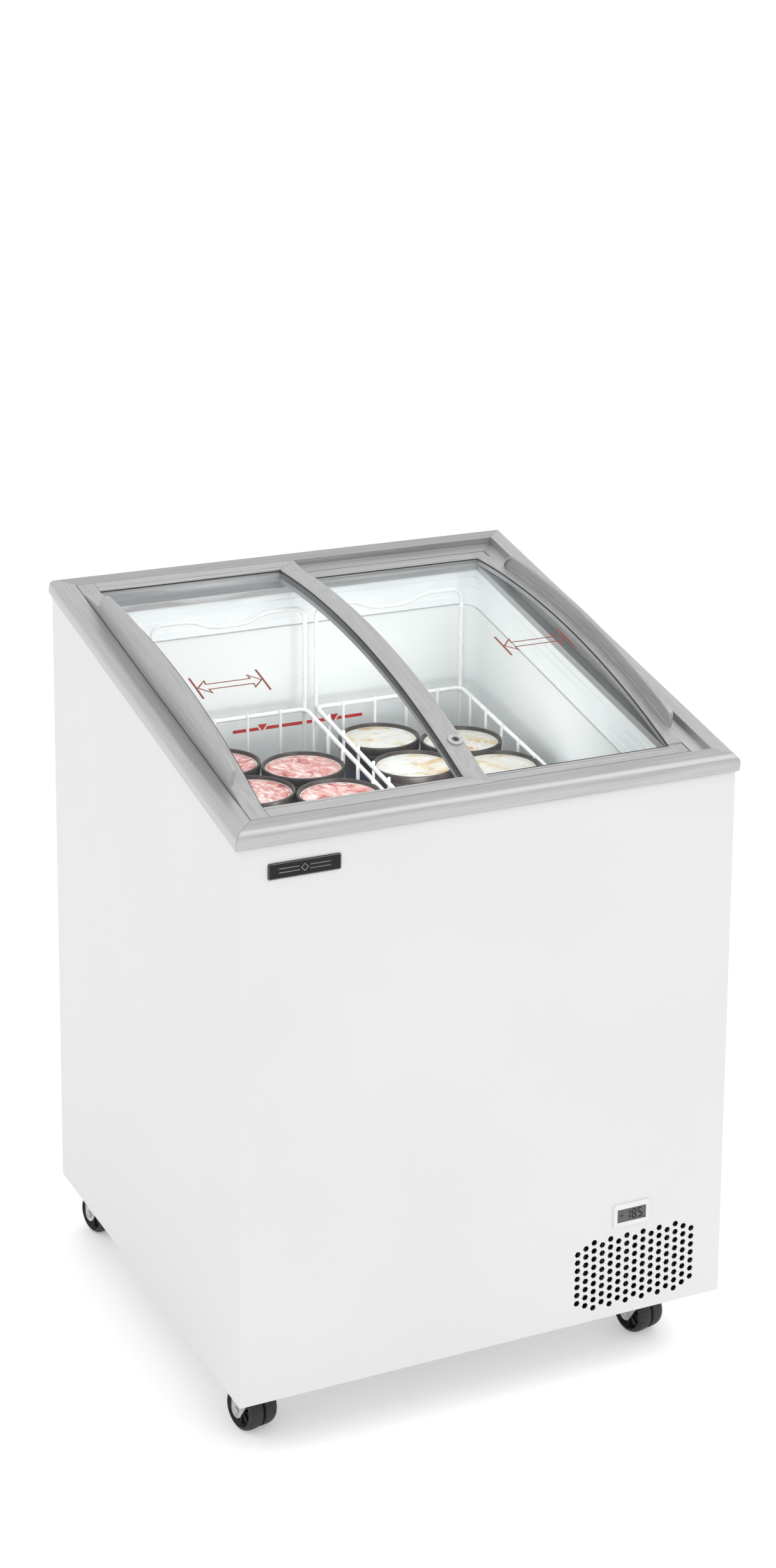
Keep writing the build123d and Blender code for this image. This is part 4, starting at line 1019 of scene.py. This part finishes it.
def add_basket(side, name):
    x0, x1 = sorted((side * BASKET_X[0], side * BASKET_X[1]))
    y0, y1 = BASKET_Y
    basket = Build(f"wire_{name}", name, "coated_wire", [wire_finish], [name])

    def loop(inset, heights, radius):
        a, b, c, d = x0 + inset, x1 - inset, y0 + inset, y1 - inset
        corners = [(a, c, heights(c)), (b, c, heights(c)), (b, d, heights(d)), (a, d, heights(d))]
        path = rounded_path(to_metres(corners), HOOP_BEND, True)
        basket.tube(path, radius, True, 12)

    middle = (rim_height(y0) + FLOOR_WIRE) / 2
    loop(HOOP_INSET[0], rim_height, RIM)
    loop(HOOP_INSET[1], lambda y: middle, HOOP)
    loop(HOOP_INSET[2], lambda y: FLOOR_WIRE + WIRE_BEND, HOOP)

    def cross_wire(start, end, y_start, y_end):
        """Wire over the rim at y_start, down, across the floor and up to the rim at y_end."""
        path = [
            (*start, rim_height(y_start) + WIRE_OVER_RIM), (*start, FLOOR_WIRE),
            (*end, FLOOR_WIRE), (*end, rim_height(y_end) + WIRE_OVER_RIM),
        ]
        basket.tube(rounded_path(to_metres(path), WIRE_BEND), CROSS_WIRE)

    for x in centred(x0, x1, WIRE_PITCH):
        cross_wire((x, y0 + WIRE_INSET), (x, y1 - WIRE_INSET), y0, y1)
    for y in centred(y0, y1, WIRE_PITCH):
        cross_wire((x0 + WIRE_INSET, y), (x1 - WIRE_INSET, y), y, y)
    left, right = x0 + RIM, x1 - RIM
    centre, (wide, narrow) = (left + right) / 2, HANDLE_WAVE
    foot, top, dip = rim_height(y1) - HANDLE_FOOT, HANDLE_TOP, HANDLE_DIP
    route = [
        (left, y1, foot), (left, y1, top), (centre - wide, y1, top), (centre - narrow, y1, dip),
        (centre + narrow, y1, dip), (centre + wide, y1, top), (right, y1, top), (right, y1, foot),
    ]
    basket.tube(rounded_path(to_metres(route), HANDLE_BEND, steps=8), RIM, sides=12)
    basket.done()


TUB_SPOTS = {
    -1: ((-150.0, 144.0), (-61.0, 92.0), (-150.0, 36.0), (-61.0, -15.0)),
    1: ((69.0, 154.0), (157.0, 101.0), (64.0, 42.0), (156.9, -1.0)),
}
TUB_FLOOR = 372.4
TUB_PITCH = 96.5
TUB_LAYERS = 3
TUB_SEGMENTS = 72
LID_SEGMENTS = 168
LABEL_RADIUS = 46.6
LABEL_FOOT = 90.45
LABEL_THICKNESS = 0.3
LABEL_RINGS = (0.0, 0.5, 0.9, 0.972, 1.0)       # shares of its radius; the last is the border
LABEL_SIDES = 64

# Turned profiles, (radius, height) above the tub's own floor.
TUB_FOOT = [(0.0, 0.4), (39.0, 0.4), (40.6, 0.8), (41.1, 2.0), (41.1, 4.5), (41.5, 5.2)]
TUB_SLEEVE = [(0.0, 5.2), (41.5, 5.2), (46.2, 58.0), (0.0, 58.0)]
TUB_MOUTH = [
    (0.0, 58.0), (46.2, 58.0), (46.2, 62.0), (47.0, 63.0), (47.4, 69.0), (47.7, 79.3), (0.0, 79.3),
]
TUB_LID = [
    (0.0, 79.5), (49.0, 79.5), (50.2, 79.8), (50.5, 80.8), (50.2, 84.0), (49.7, 84.6),
    (49.7, 85.6), (50.3, 86.2), (50.9, 87.0), (50.9, 93.2), (50.4, 94.6), (49.6, 95.2),
    (48.6, 95.2), (48.0, 94.7), (47.6, 92.5), (47.4, 91.0), (46.9, 90.4), (0.0, 90.4),
]


def ribbed(radius, height, step):
    """Fine teeth round the lid's outer band and over its top edge."""
    if radius > 50.6 and 86.5 < height < 93.5 and step % 2:
        return radius - 0.45, height
    if 48.0 < radius < 50.6 and height > 94.0 and step % 2:
        return radius, height - 0.4
    return radius, height


def add_tubs(side, name, basket, label):
    tubs = Build(f"{name}_boards", basket, "tub_board", [tub_finish, sleeve_finish], [name], 30.0)
    labels = Build(f"{name}_labels", basket, "tub_board", [label, label_border], (), 30.0)
    for x, y in TUB_SPOTS[side]:
        for layer in range(TUB_LAYERS):
            place = Matrix.Translation(
                Vector((x, CENTRE_Y + y, TUB_FLOOR + layer * TUB_PITCH)) * MM
            )
            top = layer == TUB_LAYERS - 1
            count = LID_SEGMENTS if top else LID_SEGMENTS // 3
            for profile, tag in (TUB_FOOT, 0), (TUB_SLEEVE, int(top)), (TUB_MOUTH, 0):
                tubs.revolve(profile, place, TUB_SEGMENTS, tag)
            tubs.revolve(TUB_LID, place, count, 0, wobble=ribbed if top else None)
            add_label(labels, place, 0.9 * x + 1.7 * y)
    tubs.done()
    labels.done()


def add_label(build, place, turn):
    """Printed disc with its own coordinates, so each one shows another part of the swirl."""
    rings, count = LABEL_RINGS, LABEL_SIDES
    c, s = math.cos(turn), math.sin(turn)
    points, flat = [], []
    for level in (LABEL_FOOT + LABEL_THICKNESS, LABEL_FOOT):
        for share in rings:
            for k in range(count):
                angle = 2 * math.pi * k / count
                u, v = share * math.cos(angle), share * math.sin(angle)
                points.append(place @ (Vector((u * LABEL_RADIUS, v * LABEL_RADIUS, level)) * MM))
                flat.append((u * c - v * s + turn, u * s + v * c))
    made = [build.bm.verts.new(p) for p in points]
    size = len(rings) * count

    def quad(tag, *corners):
        face = build.bm.faces.new([made[i] for i in corners])
        face.material_index = tag
        for loop, index in zip(face.loops, corners):
            loop[build.uv].uv = flat[index]

    for i in range(len(rings) - 1):
        tag = 1 if i == len(rings) - 2 else 0
        for k in range(count):
            j = (k + 1) % count
            quad(tag, i * count + k, (i + 1) * count + k, (i + 1) * count + j, i * count + j)
            quad(tag, size + i * count + k, size + i * count + j, size + (i + 1) * count + j,
                 size + (i + 1) * count + k)
    edge = (len(rings) - 1) * count
    for k in range(count):
        j = (k + 1) % count
        quad(1, edge + k, size + edge + k, size + edge + j, edge + j)
    bmesh.ops.remove_doubles(build.bm, verts=made, dist=MERGE)


# ---- Casters ----
CASTER_SPOTS = {
    "front_left": (-252.0, CENTRE_Y - 242.0),
    "front_right": (252.0, CENTRE_Y - 242.0),
    "back_left": (-252.0, CENTRE_Y + 258.0),
    "back_right": (252.0, CENTRE_Y + 258.0),
}
HEADING = math.radians(13.0)
TRAIL = 25.0
WHEEL_R = 26.0
WHEEL_RIM = [
    (3.1, 1.5), (24.4, 1.5), (25.4, 1.8), (25.9, 2.8), (26.0, 6.0), (26.0, 11.0), (25.7, 13.6),
    (25.0, 15.9), (23.9, 17.6), (22.4, 18.7), (21.2, 19.0), (20.4, 18.8), (19.8, 18.0),
    (17.6, 13.2), (17.0, 12.2), (8.6, 12.2), (7.9, 13.0), (7.0, 17.6), (6.4, 18.6), (5.6, 19.0),
    (3.1, 19.0),
]


WHEEL_BORE = 3.1
HUB_FLOOR = 9.9
SPOKES = 8
SPOKE = [(7.0, -0.9, 0.4), (18.6, -0.7, 0.4), (18.6, 0.7, 0.4), (7.0, 0.9, 0.4)]
SPOKE_Z = (11.5, 15.2)


def add_wheels():
    """Two wheels on each caster: a tread with a ribbed hub on its outer side."""
    tread = [*WHEEL_RIM[:12], (19.0, 10.0), (WHEEL_BORE, 10.0)]
    hub_profile = [(WHEEL_BORE, HUB_FLOOR), (19.6, HUB_FLOOR), *WHEEL_RIM[12:]]
    corners = rounded(SPOKE, 2)
    for spot, (x, y) in CASTER_SPOTS.items():
        swivel = Matrix.Translation(Vector((x, y, 0)) * MM) @ Matrix.Rotation(HEADING, 4, "Z")
        hub = swivel @ Matrix.Translation(Vector((0, TRAIL, WHEEL_R)) * MM)
        for letter, turn in (("a", -90.0), ("b", 90.0)):
            place = hub @ Matrix.Rotation(math.radians(turn), 4, "Y")
            name = f"caster_wheel_{spot}_{letter}"
            wheel = Build(
                f"wheel_{spot}_{letter}", name, "wheel_plastic", [tread_finish, hub_finish],
                [name], 30.0,
            )
            wheel.revolve(tread, place, 72, 0, closed=True)
            wheel.revolve(hub_profile, place, 72, 1, closed=True)
            for k in range(SPOKES):
                spoke = place @ Matrix.Rotation(2 * math.pi * k / SPOKES, 4, "Z")
                wheel.loft([
                    [spoke @ (Vector((p.x, p.y, z)) * MM) for p in corners] for z in SPOKE_Z
                ], 1)
            wheel.done()


# ---- Small fittings ----
def front_face(node):
    """Place for points (u, v, height) on a node's front face, and half the face's size."""
    low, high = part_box(node)
    centre, half = (low + high) / 2 / MM, (high - low) / 2 / MM

    def place(u, v, height):
        return Vector((centre.x + u, low.y / MM - height, centre.z + v)) * MM

    return place, half


TRIM_EDGE = (0.7, 0.6, 1.6)     # how far in, width and corner radius
TRIM_LINES = (6.0, 30.0, 2.2)   # from and to, each side of the middle, and above and below it
TRIM_LINE = 0.9
DIAMOND = [(-4.0, 0.0), (0.0, 4.0), (4.0, 0.0), (0.0, -4.0)]


def add_badge_trim():
    """Thin silver rim and a plain line motif on the black plate; no lettering."""
    place, half = front_face("name_badge")
    trim = Build("badge_trim", "cabinet", "lock_chrome", [badge_line])
    inset, width, corner = TRIM_EDGE
    w, h = half.x - inset, half.z - inset
    edge = rounded([(-w, -h, corner), (w, -h, corner), (w, h, corner), (-w, h, corner)], 3)
    ribbon(trim, [tuple(p) for p in edge], width, True, place, 0.3, step=40.0)
    start, end, level = TRIM_LINES
    for v in (level, -level):
        for x0, x1 in ((-end, -start), (start, end)):
            ribbon(trim, [(x0, v), (x1, v)], TRIM_LINE, False, place, 0.25, step=60.0)
    ribbon(trim, DIAMOND, TRIM_LINE, True, place, 0.25, step=40.0)
    trim.done()


SEGMENTS = {"-": "g", "1": "bc", "8": "abcdefg", "5": "acdfg"}
READING = "-185"                # shown with a point before its last digit
DIGIT_START = -15.0
DIGIT_PITCH = 8.0
DIGIT_SIZE = (4.6, 10.6)
DIGIT_LINE = 1.4
DIGIT_GAP = 0.7


def add_display_digits():
    """Seven-segment reading on the thermometer."""
    place, _ = front_face("thermometer_display")
    digits = Build("display_digits", "cabinet", "display_dark", [segment_finish])
    w, h = DIGIT_SIZE
    lines = {
        "a": ((0, h), (w, h)), "b": ((w, h), (w, h / 2)), "c": ((w, h / 2), (w, 0)),
        "d": ((0, 0), (w, 0)), "e": ((0, h / 2), (0, 0)), "f": ((0, h), (0, h / 2)),
        "g": ((0, h / 2), (w, h / 2)),
    }
    for index, sign in enumerate(READING):
        shift = Vector((DIGIT_START + index * DIGIT_PITCH, -h / 2))
        for key in SEGMENTS[sign]:
            a, b = (Vector(p) for p in lines[key])
            trim = (b - a).normalized() * DIGIT_GAP
            ends = [tuple(a + trim + shift), tuple(b - trim + shift)]
            ribbon(digits, ends, DIGIT_LINE, False, place, 0.1, step=20.0)
    ribbon(digits, [(7.0, -h / 2 - 0.5), (7.0, -h / 2 + 0.6)], 1.1, False, place, 0.1, step=20.0)
    digits.done()


SCREW_X = (-292.0, 0.0, 292.0)
SCREW_Z = (92.0, 304.0)
SCREW_HEAD = [
    (0.0, -0.6), (3.6, -0.6), (3.9, 0.3), (3.6, 1.1), (2.6, 1.8), (1.2, 2.1), (0.0, 2.15),
]
RECESS = [(-1.7, -0.3), (1.7, -0.3), (1.7, 0.3), (-1.7, 0.3)]
RECESS_Z = (1.2, 2.2)


def add_rear_screws():
    """Pan-head screws with a cross recess round the rear cover."""
    screws = Build("rear_screws", "cabinet", "lock_chrome", [chrome, segment_finish])
    for x, z in ((x, z) for x in SCREW_X for z in SCREW_Z):
        place = Matrix.Translation(Vector((x, BACK_Y, z)) * MM) @ Matrix.Rotation(
            math.radians(-90), 4, "X"
        )
        screws.revolve(SCREW_HEAD, place, 28)
        for turn in (0, 90):
            bar = place @ Matrix.Rotation(math.radians(turn), 4, "Z")
            screws.loft([[bar @ (Vector((u, v, h)) * MM) for u, v in RECESS] for h in RECESS_Z], 1)
    screws.done()


# ---- Stage ----
FLOOR_HALF = 30.0               # metres
FLOOR_GLOW = 0.28
LAMPS = [                       # name, place, aim, size in metres and power in watts
    ("key", (1.2, -1.25, 3.3), (0.0, -0.1, 0.6), 3.2, 30.0),
    ("fill", (-2.4, -0.7, 2.9), (0.0, 0.0, 0.6), 1.6, 2.0),
    ("inside", (0.0, 0.03, 0.77), (0.0, 0.14, 0.32), 0.36, 0.14),
    ("inside_back", (0.0, -0.15, 0.655), (0.0, 0.25, 0.76), 0.16, 0.52),
]


def add_stage():
    """Pale floor that glows a little, and an even white surround."""
    mesh = bpy.data.meshes.new("floor")
    corners = [(-1, -1), (1, -1), (1, 1), (-1, 1)]
    mesh.from_pydata([(x * FLOOR_HALF, y * FLOOR_HALF, 0) for x, y in corners], [], [(0, 1, 2, 3)])
    floor = bpy.data.objects.new("floor", mesh)
    bpy.context.scene.collection.objects.link(floor)
    mesh.materials.append(finish_of(
        "floor_paper", grey(0.96), grey(0.98), 1.5, (0.8, 0.9), Emission_Strength=FLOOR_GLOW
    ))
    world = bpy.data.worlds.new("studio")
    world.use_nodes = True
    background = world.node_tree.nodes["Background"]
    background.inputs["Color"].default_value = (1.0, 1.0, 1.0, 1.0)
    background.inputs["Strength"].default_value = 1.0
    bpy.context.scene.world = world
    bpy.context.scene.view_settings.view_transform = "Standard"


def add_light(name, place, aim, size, power):
    """Soft round lamp that the camera doesn't see itself."""
    data = bpy.data.lights.new(name, "AREA")
    data.shape = "DISK"
    data.size = size
    data.energy = power
    lamp = bpy.data.objects.new(name, data)
    bpy.context.scene.collection.objects.link(lamp)
    lamp.visible_camera = False
    lamp.location = place
    lamp.rotation_euler = (Vector(aim) - Vector(place)).to_track_quat("-Z", "Y").to_euler()


add_camera()
paint_cad_nodes()
add_frame()
add_lids()
add_throat()
add_load_line()
add_basket(-1, "basket_left")
add_basket(1, "basket_right")
add_tubs(-1, "tubs_left", "basket_left", label_pink)
add_tubs(1, "tubs_right", "basket_right", label_cream)
add_wheels()
add_badge_trim()
add_display_digits()
add_rear_screws()
add_stage()
for lamp in LAMPS:
    add_light(*lamp)
